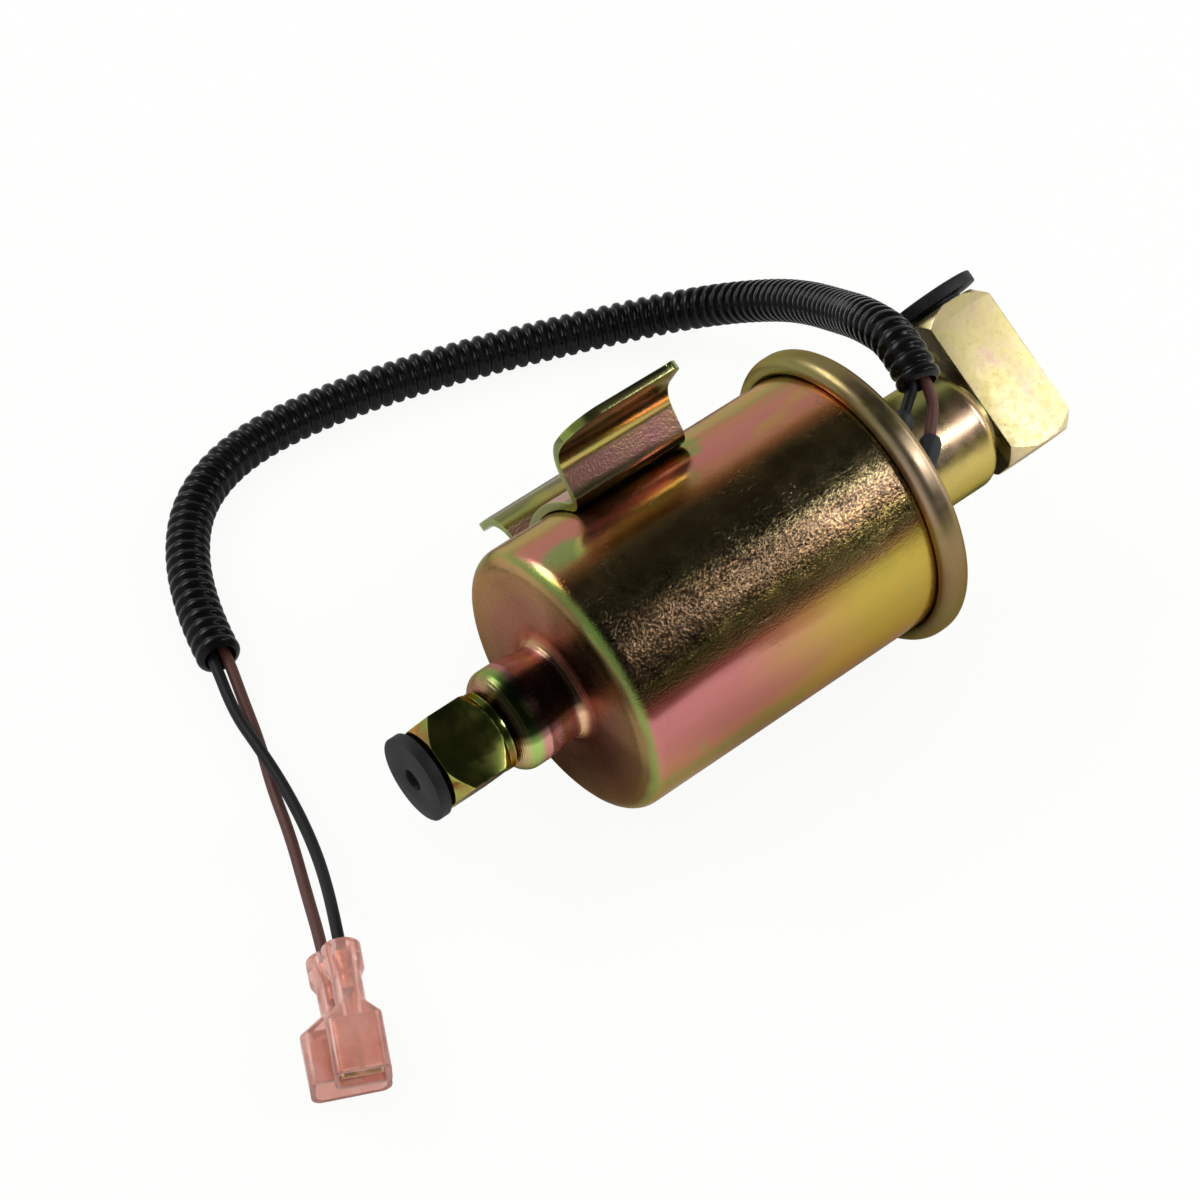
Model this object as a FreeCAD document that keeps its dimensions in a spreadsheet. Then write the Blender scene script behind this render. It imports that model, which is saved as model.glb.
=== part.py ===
"""Cylindrical in-line electric fuel pump with its two-wire harness.

A deep-drawn can carries a neck with a square inlet fitting at the front. A rolled
seam ring closes it against a rear cover, whose boss ends in a square outlet elbow.
Inside, a coil on a bobbin drives a hollow plunger in a brass tube against a return
spring, between an inlet valve and an outlet valve.

Pump frame: X runs along the pump from inlet to outlet, with zero at the can's front
face, and Z points along the outlet port. The whole pump then lies on a bench: it is
rolled about X and tipped until the can's front edge and the seam ring both touch Z = 0.
"""
import FreeCAD, Part
import Sketcher
import math
import os
import re
from FreeCAD import Placement, Rotation, Vector

doc = FreeCAD.newDocument("fuel_pump")
sheet = doc.addObject("Spreadsheet::Sheet", "Sizes")

# Driving sizes, in millimetres and degrees
SIZES = {
    # can and its neck
    "can_radius": 25.4,
    "can_length": 65.7,
    "sheet_wall": 1.2,
    "can_front_round": 3.3,
    "neck_radius": 9.45,
    "neck_length": 13.4,
    "neck_waist_radius": 8.45,
    "neck_taper_start": 5.2,
    "neck_shoulder_round": 2.9,
    "neck_root_round": 2.6,
    # square bar fittings, both turned from one bar
    "bar_across": 14.28,
    "bar_turned_radius": 7.45,
    "inlet_bar_length": 11.6,
    "inlet_collar_length": 2.2,
    "inlet_collar_radius": 7.3,
    "inlet_groove_radius": 6.3,
    "inlet_groove_width": 0.8,
    "outlet_bar_height": 30.5,
    "outlet_port_height": 19.3,
    "elbow_stub_length": 2.4,
    "elbow_stub_radius": 7.0,
    "port_bore_radius": 4.35,
    "port_bore_depth": 11.0,
    "flow_bore_radius": 2.8,
    "port_mouth_radius": 5.6,
    # rear cover and seam
    "boss_radius": 11.5,
    "boss_reach": 92.4,
    "boss_shoulder_round": 2.6,
    "boss_root_round": 2.0,
    "seam_ring_wall": 0.9,
    "seam_ring_round": 2.3,
    "seam_lip_depth": 2.9,
    "seam_rear_lip_depth": 4.6,
    "seam_flange_height": 2.0,
    "seam_fold_room": 0.35,
    "gasket_thickness": 1.4,
    # travel plugs
    "plug_disc_thickness": 2.2,
    "plug_standoff": 1.0,
    "plug_spigot_length": 4.0,
    "plug_recess_radius": 2.0,
    "plug_recess_depth": 1.2,
    "inlet_plug_radius": 7.9,
    "outlet_plug_radius": 9.0,
    # mounting bracket
    "strap_thickness": 1.5,
    "bracket_front": 15.3,
    "bracket_length": 23.6,
    "bracket_wrap": 30.0,
    "bracket_leg_lean": 3.8,
    "bracket_lip_rise": 7.3,
    "bracket_lip_reach": 5.6,
    "bracket_lip_pitch": 0.8,
    "bracket_foot_round": 2.2,
    "bracket_waist_round": 6.5,
    "bracket_corner_round": 6.5,
    # tube, plunger and valves
    "tube_radius": 6.0,
    "tube_wall": 0.5,
    "tube_front": -9.5,
    "tube_end_room": 4.4,
    "plunger_front": 20.0,
    "plunger_length": 30.0,
    "plunger_flow_radius": 2.4,
    "plunger_pocket_radius": 4.1,
    "plunger_front_pocket": 8.0,
    "plunger_rear_pocket": 8.0,
    "plunger_groove_depth": 0.25,
    "spring_wire_radius": 0.35,
    "spring_mean_radius": 3.4,
    "valve_seat_thickness": 2.2,
    "valve_disc_thickness": 0.9,
    "valve_disc_radius": 3.5,
    "valve_hole_radius": 2.0,
    "valve_cage_length": 3.9,
    "valve_cage_plate": 0.8,
    "valve_clip_thickness": 0.8,
    "filter_radius": 3.2,
    "filter_length": 10.0,
    "bumper_length": 2.8,
    "stop_sleeve_length": 26.5,
    "boss_seal_overlap": 5.0,
    # coil and magnetic circuit
    "coil_front": 8.0,
    "coil_end_room": 25.7,
    "bobbin_wall": 1.1,
    "flange_rim_room": 3.6,
    "winding_rim_room": 0.8,
    "pole_thickness": 3.0,
    "pole_gap": 0.1,
    # circuit board
    "insulator_thickness": 0.6,
    "board_end_room": 9.7,
    "board_thickness": 1.6,
    "board_rim_room": 1.8,
    "board_hole_radius": 8.2,
    "pickup_radius": 8.0,
    "pickup_length": 5.0,
    "transistor_width": 10.0,
    "transistor_depth": 8.0,
    "transistor_height": 4.2,
    "capacitor_radius": 3.0,
    "capacitor_length": 7.0,
    "resistor_radius": 1.5,
    "resistor_length": 8.5,
    # leads, conduit and terminals
    "wire_radius": 1.05,
    "lead_rim_room": 4.4,
    "lead_lean": 38.0,
    "black_lead_offset": 1.5,
    "brown_lead_offset": -6.0,
    "lead_sleeve_root": 2.5,
    "lead_sleeve_bulb": 2.1,
    "lead_sleeve_tip": 1.5,
    "black_sleeve_length": 7.0,
    "brown_sleeve_length": 9.4,
    "lead_inner_length": 6.0,
    "black_lead_straight": 2.0,
    "brown_lead_straight": 3.5,
    "conduit_radius": 4.1,
    "conduit_root_radius": 3.45,
    "conduit_bore_radius": 2.95,
    "conduit_ribs": 97,
    "terminal_length": 24.6,
    "terminal_barrel_length": 4.3,
    "terminal_barrel_width": 6.5,
    "terminal_barrel_cone": 1.4,
    "terminal_waist_end": 11.2,
    "terminal_waist_width": 5.0,
    "terminal_waist_height": 4.7,
    "terminal_wall": 0.8,
    "socket_width": 9.2,
    "socket_height": 5.4,
    "socket_taper": 2.9,
    "socket_corner": 1.3,
    "tab_shroud_width": 13.2,
    "tab_shroud_height": 6.4,
    "tab_shroud_taper": 3.5,
    "tab_shroud_corner": 1.8,
    "tab_width": 6.3,
    "tab_thickness": 0.8,
    "tab_tip_chamfer": 1.1,
    "tab_hole_radius": 0.9,
    "tab_length": 8.0,
    "receptacle_wall": 0.4,
    "receptacle_length": 9.0,
    "crimp_start": 1.6,
    "crimp_length": 7.0,
    # fits
    "press_gap": 0.05,
    "running_gap": 0.08,
    "seat_gap": 0.3,
    # how the pump lies
    "bench_roll": 56.55,
    "row_origin_station": 39.72,
    "row_origin_side": 8.15,
}

for row, (alias, number) in enumerate(SIZES.items(), start=1):
    sheet.set(f"A{row}", alias)
    sheet.set(f"B{row}", str(number))
    sheet.setAlias(f"B{row}", alias)
doc.recompute()

# Sizes that follow from the driving ones
DERIVED = {
    "can_bore": "can_radius - sheet_wall",
    "neck_bore": "neck_radius - sheet_wall",
    "neck_mouth": "inlet_groove_radius + press_gap",
    "seam_ring_radius": "seam_flange_radius + press_gap + seam_fold_room + seam_ring_wall",
    "bracket_half_span": "can_radius + bracket_lip_reach",
    "tube_rear": "boss_reach - tube_end_room",
    "coil_length": "can_length - coil_end_room",
    "bobbin_flange_radius": "can_bore - flange_rim_room",
    "winding_radius": "bobbin_flange_radius - winding_rim_room",
    "board_station": "can_length - board_end_room",
    "board_radius": "can_bore - board_rim_room",
    "lead_radius_out": "can_bore - lead_rim_room",
    "bar_half": "bar_across / 2",
    "bar_corner": "bar_half * sqrt(2)",
    "seam_front": "can_length - sheet_wall - seam_ring_wall",
    "gasket_rear": "can_length + gasket_thickness",
    "cover_face": "gasket_rear + sheet_wall",
    "seam_rear": "cover_face + seam_ring_wall",
    "seam_flange_radius": "can_radius + seam_flange_height",
    "inlet_mouth": "-(neck_length + inlet_collar_length + inlet_bar_length)",
    "inlet_bar_rear": "-(neck_length + inlet_collar_length)",
    "elbow_station": "boss_reach + elbow_stub_length + bar_half",
    "tube_bore": "tube_radius - tube_wall",
    "in_tube": "tube_bore - press_gap",
    "seat_front": "spigot_end + press_gap",
    "spigot_end": "-1.0",
    "seat_rear": "seat_front + valve_seat_thickness",
    "cage_rear": "seat_rear + valve_cage_length",
    "plunger_rear": "plunger_front + plunger_length",
    "plunger_radius": "tube_bore - running_gap",
    "bumper_front": "plunger_rear + seat_gap",
    "stop_front": "bumper_front + bumper_length",
    "stop_rear": "stop_front + stop_sleeve_length",
    "coil_rear": "coil_front + coil_length",
    "hub_bore": "tube_radius + seat_gap",
    "hub_radius": "hub_bore + bobbin_wall",
    "board_rear": "board_station + board_thickness",
}


def expand(text):
    """Write a size formula in the sheet's own cell names."""
    def swap(found):
        word = found.group(0)
        if word in DERIVED:
            return f"({expand(DERIVED[word])})"
        if word in SIZES:
            return f"Sizes.{word}"
        return word
    return re.sub(r"[a-z_]+", swap, str(text))


def size(text):
    """The number that a size formula has now."""
    return float(sheet.evalExpression(expand(text)))


def bind(thing, name, text):
    thing.setExpression(name, expand(text))


# Where the pump lies: both rounded rims, the can's and the ring's, rest on the bench
CAN_RIM = (size("can_front_round"), size("can_radius - can_front_round"))
RING_RIM = (size("seam_front + seam_ring_round"), size("seam_ring_radius - seam_ring_round"))
RIM_RUN = RING_RIM[0] - CAN_RIM[0]
RIM_STEP = RING_RIM[1] - CAN_RIM[1]
BENCH_TILT = math.degrees(
    math.atan2(RIM_STEP, RIM_RUN)
    + math.asin(size("seam_ring_round - can_front_round") / math.hypot(RIM_RUN, RIM_STEP)))
BENCH_LIFT = (CAN_RIM[1] * math.cos(math.radians(BENCH_TILT)) + size("can_front_round")
              - CAN_RIM[0] * math.sin(math.radians(BENCH_TILT)))
BENCH = Placement(
    Vector(-size("row_origin_station"), -size("row_origin_side"), BENCH_LIFT),
    Rotation(Vector(0, 1, 0), -BENCH_TILT) * Rotation(Vector(1, 0, 0), -size("bench_roll")))

parts = {}


def keep(label, thing, local=None):
    """File a finished sub-part and lay it with the rest of the pump."""
    thing.Label = label
    thing.Placement = BENCH * local if local else BENCH
    parts[label] = thing


def origin_item(body, role):
    return next(item for item in body.Origin.OriginFeatures if item.Role == role)


def profile_sketch(body, name, plane, points):
    """A closed outline whose every corner is bound to the sheet."""
    sketch = body.newObject("Sketcher::SketchObject", name)
    sketch.AttachmentSupport = [(origin_item(body, plane), "")]
    sketch.MapMode = "FlatFace"
    corners = [Vector(size(along), size(across), 0) for along, across in points]
    count = len(corners)
    sketch.addGeometry([Part.LineSegment(corners[i], corners[(i + 1) % count])
                        for i in range(count)], False)
    sketch.addConstraint([Sketcher.Constraint("Coincident", i, 2, (i + 1) % count, 1)
                          for i in range(count)])
    for i, (along, across) in enumerate(points):
        for kind, text, value in (("DistanceX", along, corners[i].x),
                                  ("DistanceY", across, corners[i].y)):
            index = sketch.addConstraint(Sketcher.Constraint(kind, -1, 1, i, 1, value))
            sketch.renameConstraint(index, f"{kind}_{i}")
            bind(sketch, f"Constraints.{kind}_{i}", text)
    return sketch


def revolve(body, name, points, cut=False, plane="XY_Plane", axis="X_Axis"):
    """Turn an outline of (along, radius) points round an axis, or cut it away."""
    sketch = profile_sketch(body, name + "_outline", plane, points)
    before = body.Shape.Volume if cut else 0.0
    kind = "PartDesign::Groove" if cut else "PartDesign::Revolution"
    feature = body.newObject(kind, name)
    feature.Profile = sketch
    feature.ReferenceAxis = (origin_item(body, axis), [""])
    feature.Angle = 360
    doc.recompute()
    if cut and not body.Shape.Volume < before - 1e-6:
        raise RuntimeError(f"{body.Name}: {name} removes nothing")
    return feature


def turned(label, points, local=None):
    """A turned piece in a body of its own."""
    body = doc.addObject("PartDesign::Body", label)
    revolve(body, label + "_turning", points)
    keep(label, body, local)
    return body


def round_off(body, name, rims, radius):
    """Fillet the circular rims that lie at the given stations and radii."""
    doc.recompute()
    tip = body.Tip
    wanted = [(size(station), size(rim)) for station, rim in rims]
    edges = []
    for number, edge in enumerate(tip.Shape.Edges, start=1):
        curve = edge.Curve
        if not isinstance(curve, Part.Circle):
            continue
        for station, rim in wanted:
            if abs(curve.Center.x - station) < 1e-4 and abs(curve.Radius - rim) < 1e-4:
                edges.append(f"Edge{number}")
    if len(edges) != len(rims):
        raise RuntimeError(f"{body.Name}: {name} found {len(edges)} of {len(rims)} rims")
    fillet = body.newObject("PartDesign::Fillet", name)
    fillet.Base = (tip, edges)
    bind(fillet, "Radius", radius)
    doc.recompute()
    return fillet


def pump_point(along, side, up):
    """A pump-frame point in the bench frame."""
    return BENCH.multVec(Vector(along, side, up))


# Casing

def make_can():
    """Deep-drawn can: neck, flat front, straight wall and seam flange in one shell."""
    body = turned("housing_can", [
        ("-neck_length", "neck_mouth"),
        ("-neck_length", "neck_radius"),
        ("neck_taper_start - neck_length", "neck_radius"),
        ("0", "neck_waist_radius"),
        ("0", "can_radius"),
        ("can_length - sheet_wall", "can_radius"),
        ("can_length - sheet_wall", "seam_flange_radius"),
        ("can_length", "seam_flange_radius"),
        ("can_length", "can_bore"),
        ("sheet_wall", "can_bore"),
        ("sheet_wall", "neck_waist_radius - sheet_wall"),
        ("neck_taper_start - neck_length", "neck_bore"),
        ("sheet_wall - neck_length", "neck_bore"),
        ("sheet_wall - neck_length", "neck_mouth"),
    ])
    round_off(body, "front_round", [("0", "can_radius")], "can_front_round")
    round_off(body, "neck_shoulder", [("-neck_length", "neck_radius")], "neck_shoulder_round")
    round_off(body, "neck_root", [("0", "neck_waist_radius")], "neck_root_round")


def make_seam_ring():
    """Rolled ring that folds over the can flange, the gasket and the cover flange."""
    body = turned("seam_ring", [
        ("seam_front", "seam_ring_radius - seam_lip_depth"),
        ("seam_front", "seam_ring_radius"),
        ("seam_rear", "seam_ring_radius"),
        ("seam_rear", "seam_ring_radius - seam_rear_lip_depth"),
        ("cover_face", "seam_ring_radius - seam_rear_lip_depth"),
        ("cover_face", "seam_flange_radius + press_gap"),
        ("seam_front + seam_ring_wall", "seam_flange_radius + press_gap"),
        ("seam_front + seam_ring_wall", "seam_ring_radius - seam_lip_depth"),
    ])
    round_off(body, "rolled_edges",
              [("seam_front", "seam_ring_radius"), ("seam_rear", "seam_ring_radius")],
              "seam_ring_round")


def make_rear_cover():
    """Drawn cover with the long boss that guides the tube to the elbow."""
    shell = turned("rear_cover_shell", [
        ("gasket_rear", "seam_flange_radius"),
        ("cover_face", "seam_flange_radius"),
        ("cover_face", "boss_radius"),
        ("boss_reach", "boss_radius"),
        ("boss_reach", "in_tube + seat_gap"),
        ("boss_reach - sheet_wall", "in_tube + seat_gap"),
        ("boss_reach - sheet_wall", "boss_radius - sheet_wall"),
        ("gasket_rear", "boss_radius - sheet_wall"),
    ])
    round_off(shell, "boss_shoulder", [("boss_reach", "boss_radius")], "boss_shoulder_round")
    round_off(shell, "boss_root", [("cover_face", "boss_radius")], "boss_root_round")
    del parts["rear_cover_shell"]
    shell.Placement = Placement()
    for tag in ("black", "brown"):
        seat, heading = lead_start(f"{tag}_lead_offset")
        drill = doc.addObject("Part::Cylinder", f"{tag}_lead_hole")
        bind(drill, "Radius", "lead_sleeve_root + press_gap")
        bind(drill, "Height", "sheet_wall * 8")
        drill.Placement = Placement(seat - heading * size("sheet_wall * 4"), Rotation(Vector(0, 0, 1), heading))
        cut = doc.addObject("Part::Cut", f"cover_bored_{tag}")
        cut.Base = shell
        cut.Tool = drill
        shell = cut
    keep("rear_cover", shell)


def make_casing_seals():
    turned("cover_gasket", [
        ("can_length", "can_bore"),
        ("can_length", "seam_flange_radius"),
        ("gasket_rear", "seam_flange_radius"),
        ("gasket_rear", "can_bore"),
    ])
    for label, front, rear, inner, outer in (
            ("neck_seal", "sheet_wall - neck_length + seat_gap", "tube_front - seat_gap",
             "inlet_groove_radius", "neck_bore"),
            ("boss_seal", "tube_rear - boss_seal_overlap", "boss_reach - sheet_wall - seat_gap",
             "tube_radius", "boss_radius - sheet_wall")):
        turned(label, [
            (front, f"{inner} + press_gap"),
            (front, f"{outer} - press_gap"),
            (rear, f"{outer} - press_gap"),
            (rear, f"{inner} + press_gap"),
        ])


# Square fittings

def square_bar(body, name, start, end):
    """Square bar along X, both ends turned to a cone."""
    sketch = profile_sketch(body, name + "_square", "YZ_Plane", [
        ("-bar_half", "-bar_half"), ("bar_half", "-bar_half"),
        ("bar_half", "bar_half"), ("-bar_half", "bar_half")])
    bind(sketch, "AttachmentOffset.Base.z", start)
    pad = body.newObject("PartDesign::Pad", name)
    pad.Profile = sketch
    bind(pad, "Length", f"({end}) - ({start})")
    doc.recompute()
    for tag, face, sign in (("mouth", start, "+"), ("root", end, "-")):
        revolve(body, f"{name}_{tag}_cone", [
            (face, "bar_turned_radius"),
            (face, "bar_corner + 1"),
            (f"{face} {sign} (bar_corner + 1 - bar_turned_radius)", "bar_corner + 1"),
        ], cut=True)


def make_inlet_fitting():
    """Inlet: square bar, collar, groove and a spigot through the neck into the tube."""
    body = doc.addObject("PartDesign::Body", "inlet_fitting")
    square_bar(body, "inlet_bar", "inlet_mouth", "inlet_bar_rear")
    groove_rear = "-neck_length"
    groove_front = "-(neck_length + inlet_groove_width)"
    revolve(body, "inlet_spigot", [
        ("inlet_bar_rear - 1", "0"),
        ("inlet_bar_rear - 1", "inlet_groove_radius"),
        ("inlet_bar_rear", "inlet_groove_radius"),
        ("inlet_bar_rear", "inlet_collar_radius"),
        (groove_front, "inlet_collar_radius"),
        (groove_front, "inlet_groove_radius"),
        ("tube_front - seat_gap", "inlet_groove_radius"),
        ("tube_front - seat_gap", "in_tube"),
        ("spigot_end", "in_tube"),
        ("spigot_end", "0"),
    ])
    revolve(body, "inlet_bore", [
        ("inlet_mouth", "0"),
        ("inlet_mouth", "port_mouth_radius"),
        ("inlet_mouth + port_mouth_radius - port_bore_radius", "port_bore_radius"),
        ("inlet_mouth + port_bore_depth", "port_bore_radius"),
        ("inlet_mouth + port_bore_depth", "flow_bore_radius"),
        ("inlet_bar_rear + 1", "flow_bore_radius"),
        ("inlet_bar_rear + 1", "filter_radius + 1"),
        ("spigot_end", "filter_radius + 1"),
        ("spigot_end", "0"),
    ], cut=True)
    keep("inlet_fitting", body)


def make_outlet_elbow():
    """Outlet: the same bar set upright, with a cross bore and a stub into the boss."""
    body = doc.addObject("PartDesign::Body", "outlet_elbow")
    square_bar(body, "outlet_bar", "outlet_port_height - outlet_bar_height", "outlet_port_height")
    revolve(body, "elbow_stub", [
        ("0", "0"),
        ("elbow_stub_radius", "0"),
        ("elbow_stub_radius", "bar_half + elbow_stub_length"),
        ("in_tube", "bar_half + elbow_stub_length"),
        ("in_tube", "elbow_station - stop_rear - seat_gap"),
        ("0", "elbow_station - stop_rear - seat_gap"),
    ], plane="XZ_Plane", axis="Z_Axis")
    revolve(body, "port_bore", [
        ("-flow_bore_radius", "0"),
        ("-flow_bore_radius", "flow_bore_radius"),
        ("outlet_port_height - port_bore_depth", "flow_bore_radius"),
        ("outlet_port_height - port_bore_depth", "port_bore_radius"),
        ("outlet_port_height - port_mouth_radius + port_bore_radius", "port_bore_radius"),
        ("outlet_port_height", "port_mouth_radius"),
        ("outlet_port_height", "0"),
    ], cut=True)
    revolve(body, "stub_bore", [
        ("0", "0"),
        ("flow_bore_radius", "0"),
        ("flow_bore_radius", "bar_half + elbow_stub_length"),
        ("stop_bore", "bar_half + elbow_stub_length + stop_bore - flow_bore_radius"),
        ("stop_bore", "elbow_station - stop_rear - seat_gap"),
        ("0", "elbow_station - stop_rear - seat_gap"),
    ], cut=True, plane="XZ_Plane", axis="Z_Axis")
    keep("outlet_elbow", body, PORT_UP)


def make_plug(label, disc_radius, local):
    """Soft travel plug: disc with a finger recess, collar and spigot in the port."""
    collar = "port_mouth_radius - press_gap * 6"
    spigot = "port_bore_radius - running_gap * 3"
    turned(label, [
        ("plug_standoff + plug_disc_thickness - plug_recess_depth", "0"),
        ("plug_standoff + plug_disc_thickness - plug_recess_depth", "plug_recess_radius"),
        ("plug_standoff + plug_disc_thickness", "plug_recess_radius"),
        ("plug_standoff + plug_disc_thickness", disc_radius),
        ("plug_standoff", disc_radius),
        ("plug_standoff", collar),
        ("0.05", collar),
        (f"0.05 - ({collar}) + {spigot}", spigot),
        ("-plug_spigot_length", spigot),
        ("-plug_spigot_length", "0"),
    ], local)


# Bracket

def strip_edges(corners, radii, offset):
    """One side of a bent strip: straight runs joined by arcs, offset to the left."""
    shifted = []
    for i in range(len(corners) - 1):
        run = (corners[i + 1] - corners[i]).normalize()
        normal = Vector(-run.y, run.x, 0)
        shifted.append((corners[i] + normal * offset, run))
    points = [shifted[0][0]]
    for (start, run), (other, turn) in zip(shifted, shifted[1:]):
        across = run.x * turn.y - run.y * turn.x
        gap = other - start
        points.append(start + run * ((gap.x * turn.y - gap.y * turn.x) / across))
    points.append(corners[-1] + Vector(-shifted[-1][1].y, shifted[-1][1].x, 0) * offset)
    edges = []
    here = points[0]
    for i in range(1, len(points) - 1):
        into = (points[i] - points[i - 1]).normalize()
        out = (points[i + 1] - points[i]).normalize()
        side = 1.0 if into.x * out.y - into.y * out.x > 0 else -1.0
        radius = radii[i - 1] - side * offset
        half = math.acos(max(-1.0, min(1.0, into.dot(out)))) / 2
        reach = radius * math.tan(half)
        first = points[i] - into * reach
        last = points[i] + out * reach
        centre = first + Vector(-into.y, into.x, 0) * (side * radius)
        middle = centre + (points[i] - centre).normalize() * radius
        edges.append(Part.LineSegment(here, first).toShape())
        edges.append(Part.Arc(first, middle, last).toShape())
        here = last
    edges.append(Part.LineSegment(here, points[-1]).toShape())
    return edges, points[0], points[-1]


def make_bracket():
    """Strap bracket: saddle on the can, two leaning legs and wide flared lips."""
    half = size("strap_thickness") / 2
    saddle = size("can_radius + seat_gap") + half
    wrap = math.radians(size("bracket_wrap"))
    foot = Vector(saddle * math.sin(wrap), saddle * math.cos(wrap), 0)
    foot += Vector(math.cos(wrap), -math.sin(wrap), 0) * size("bracket_foot_round * 0.75")
    waist = Vector(foot.x + size("bracket_leg_lean"), size("can_radius + bracket_lip_rise") - half, 0)
    tip = Vector(size("bracket_half_span"), waist.y + size("bracket_lip_pitch"), 0)
    crown = Vector(0, saddle / math.cos(wrap), 0)
    right = [foot, waist, tip]
    left = [Vector(-point.x, point.y, 0) for point in reversed(right)]
    corners = left + [crown] + right
    bends = [size("bracket_waist_round"), size("bracket_foot_round"), saddle,
             size("bracket_foot_round"), size("bracket_waist_round")]
    upper, upper_start, upper_end = strip_edges(corners, bends, half)
    lower, lower_start, lower_end = strip_edges(corners, bends, -half)
    ends = [Part.LineSegment(upper_start, lower_start).toShape(),
            Part.LineSegment(upper_end, lower_end).toShape()]
    outline = Part.Wire(Part.__sortEdges__(upper + lower + ends))
    # the outline is drawn as (side, up) and stood across the pump
    stand = Placement(Vector(size("bracket_front"), 0, 0), Rotation(Vector(1, 1, 1), 120))
    outline.Placement = stand
    strap = Part.Face(outline).extrude(Vector(size("bracket_length"), 0, 0))
    plan = Part.makeBox(size("bracket_length"), 2 * size("bracket_half_span"), size("can_radius * 2"),
                        Vector(size("bracket_front"), -size("bracket_half_span"), 0))
    uprights = [edge for edge in plan.Edges
                if abs(edge.tangentAt(edge.FirstParameter).z) > 0.99]
    plan = plan.makeFillet(size("bracket_corner_round"), uprights)
    feature = doc.addObject("Part::Feature", "mounting_bracket")
    feature.Shape = strap.common(plan).removeSplitter()
    keep("mounting_bracket", feature)


# Tube, plunger and valves

def sleeve(label, front, rear, inner, outer, local=None):
    """A plain turned sleeve or washer."""
    return turned(label, [(front, inner), (front, outer), (rear, outer), (rear, inner)], local)


def make_flow_parts():
    sleeve("plunger_tube", "tube_front", "tube_rear", "tube_bore", "tube_radius")
    turned("filter_screen", [
        ("spigot_end - filter_length", "0"),
        ("spigot_end - filter_length", "filter_radius"),
        ("spigot_end - 0.8", "filter_radius"),
        ("spigot_end - 0.8", "filter_radius + 1 - press_gap"),
        ("spigot_end", "filter_radius + 1 - press_gap"),
        ("spigot_end", "filter_radius - 0.3"),
        ("spigot_end - filter_length + 0.3", "filter_radius - 0.3"),
        ("spigot_end - filter_length + 0.3", "0"),
    ])
    sleeve("inlet_valve_seat", "seat_front", "seat_rear", "valve_hole_radius", "in_tube")
    turned("inlet_valve_cage", [
        ("seat_rear + press_gap", "valve_disc_radius + 0.5"),
        ("seat_rear + press_gap", "in_tube"),
        ("cage_rear", "in_tube"),
        ("cage_rear", "valve_hole_radius * 0.8"),
        ("cage_rear - valve_cage_plate", "valve_hole_radius * 0.8"),
        ("cage_rear - valve_cage_plate", "valve_disc_radius + 0.5"),
    ])
    turned("inlet_valve_disc", [
        ("seat_rear + press_gap", "0"),
        ("seat_rear + press_gap", "valve_disc_radius"),
        ("seat_rear + press_gap + valve_disc_thickness", "valve_disc_radius"),
        ("seat_rear + press_gap + valve_disc_thickness", "0"),
    ])
    sleeve("inlet_valve_spring", "seat_rear + press_gap * 2 + valve_disc_thickness",
           "cage_rear - valve_cage_plate - press_gap",
           "valve_hole_radius - 0.2", "valve_hole_radius + 0.4")
    sleeve("rear_bumper", "bumper_front", "stop_front - press_gap",
           "flow_bore_radius + 0.4", "in_tube - seat_gap / 2")
    sleeve("stop_sleeve", "stop_front", "stop_rear", "stop_bore", "in_tube")


def make_plunger():
    """Hollow steel plunger: spring pocket in front, outlet valve pocket behind."""
    body = turned("plunger", [
        ("plunger_front", "plunger_pocket_radius"),
        ("plunger_front", "plunger_radius"),
        ("plunger_rear", "plunger_radius"),
        ("plunger_rear", "plunger_pocket_radius"),
        ("plunger_rear - plunger_rear_pocket", "plunger_pocket_radius"),
        ("plunger_rear - plunger_rear_pocket", "plunger_flow_radius"),
        ("plunger_front + plunger_front_pocket", "plunger_flow_radius"),
        ("plunger_front + plunger_front_pocket", "plunger_pocket_radius"),
    ])
    for number, station in enumerate(("plunger_front + 5", "plunger_front + plunger_length / 2",
                                      "plunger_rear - 5")):
        revolve(body, f"oil_groove_{number}", [
            (f"{station} - 0.6", "plunger_radius - plunger_groove_depth"),
            (f"{station} - 0.6", "plunger_radius + 1"),
            (f"{station} + 0.6", "plunger_radius + 1"),
            (f"{station} + 0.6", "plunger_radius - plunger_groove_depth"),
        ], cut=True)
    seat = "plunger_rear - plunger_rear_pocket + press_gap"
    turned("outlet_valve_disc", [
        (seat, "0"), (seat, "valve_disc_radius"),
        (f"{seat} + valve_disc_thickness", "valve_disc_radius"),
        (f"{seat} + valve_disc_thickness", "0"),
    ])
    clip_front = "plunger_rear - 3"
    sleeve("outlet_valve_clip", clip_front, f"{clip_front} + valve_clip_thickness",
           "valve_hole_radius - 0.3", "plunger_pocket_radius - press_gap")
    sleeve("outlet_valve_spring", f"{seat} + valve_disc_thickness + press_gap",
           f"{clip_front} - press_gap", "valve_hole_radius - 0.2", "valve_hole_radius + 0.4")


def make_return_spring():
    """Return spring: one unbroken coil from the inlet valve cage to the plunger."""
    wire = size("spring_wire_radius")
    start = size("cage_rear") + wire + size("press_gap")
    length = size("plunger_front + plunger_front_pocket") - start - wire - size("press_gap")
    turns = 8
    pitch = length / turns
    mean = size("spring_mean_radius")
    helix = Part.makeHelix(pitch, length, mean)
    ring = Part.Wire(Part.Circle(Vector(mean, 0, 0), Vector(0, 1, 0), wire).toShape())
    coil = Part.Wire(helix.Edges).makePipeShell([ring], True, False)
    feature = doc.addObject("Part::Feature", "return_spring")
    feature.Shape = coil
    print("return_spring gap between turns", round(pitch - 2 * wire, 3))
    keep("return_spring", feature, Placement(Vector(start, 0, 0), Rotation(Vector(0, 1, 0), 90)))


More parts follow.
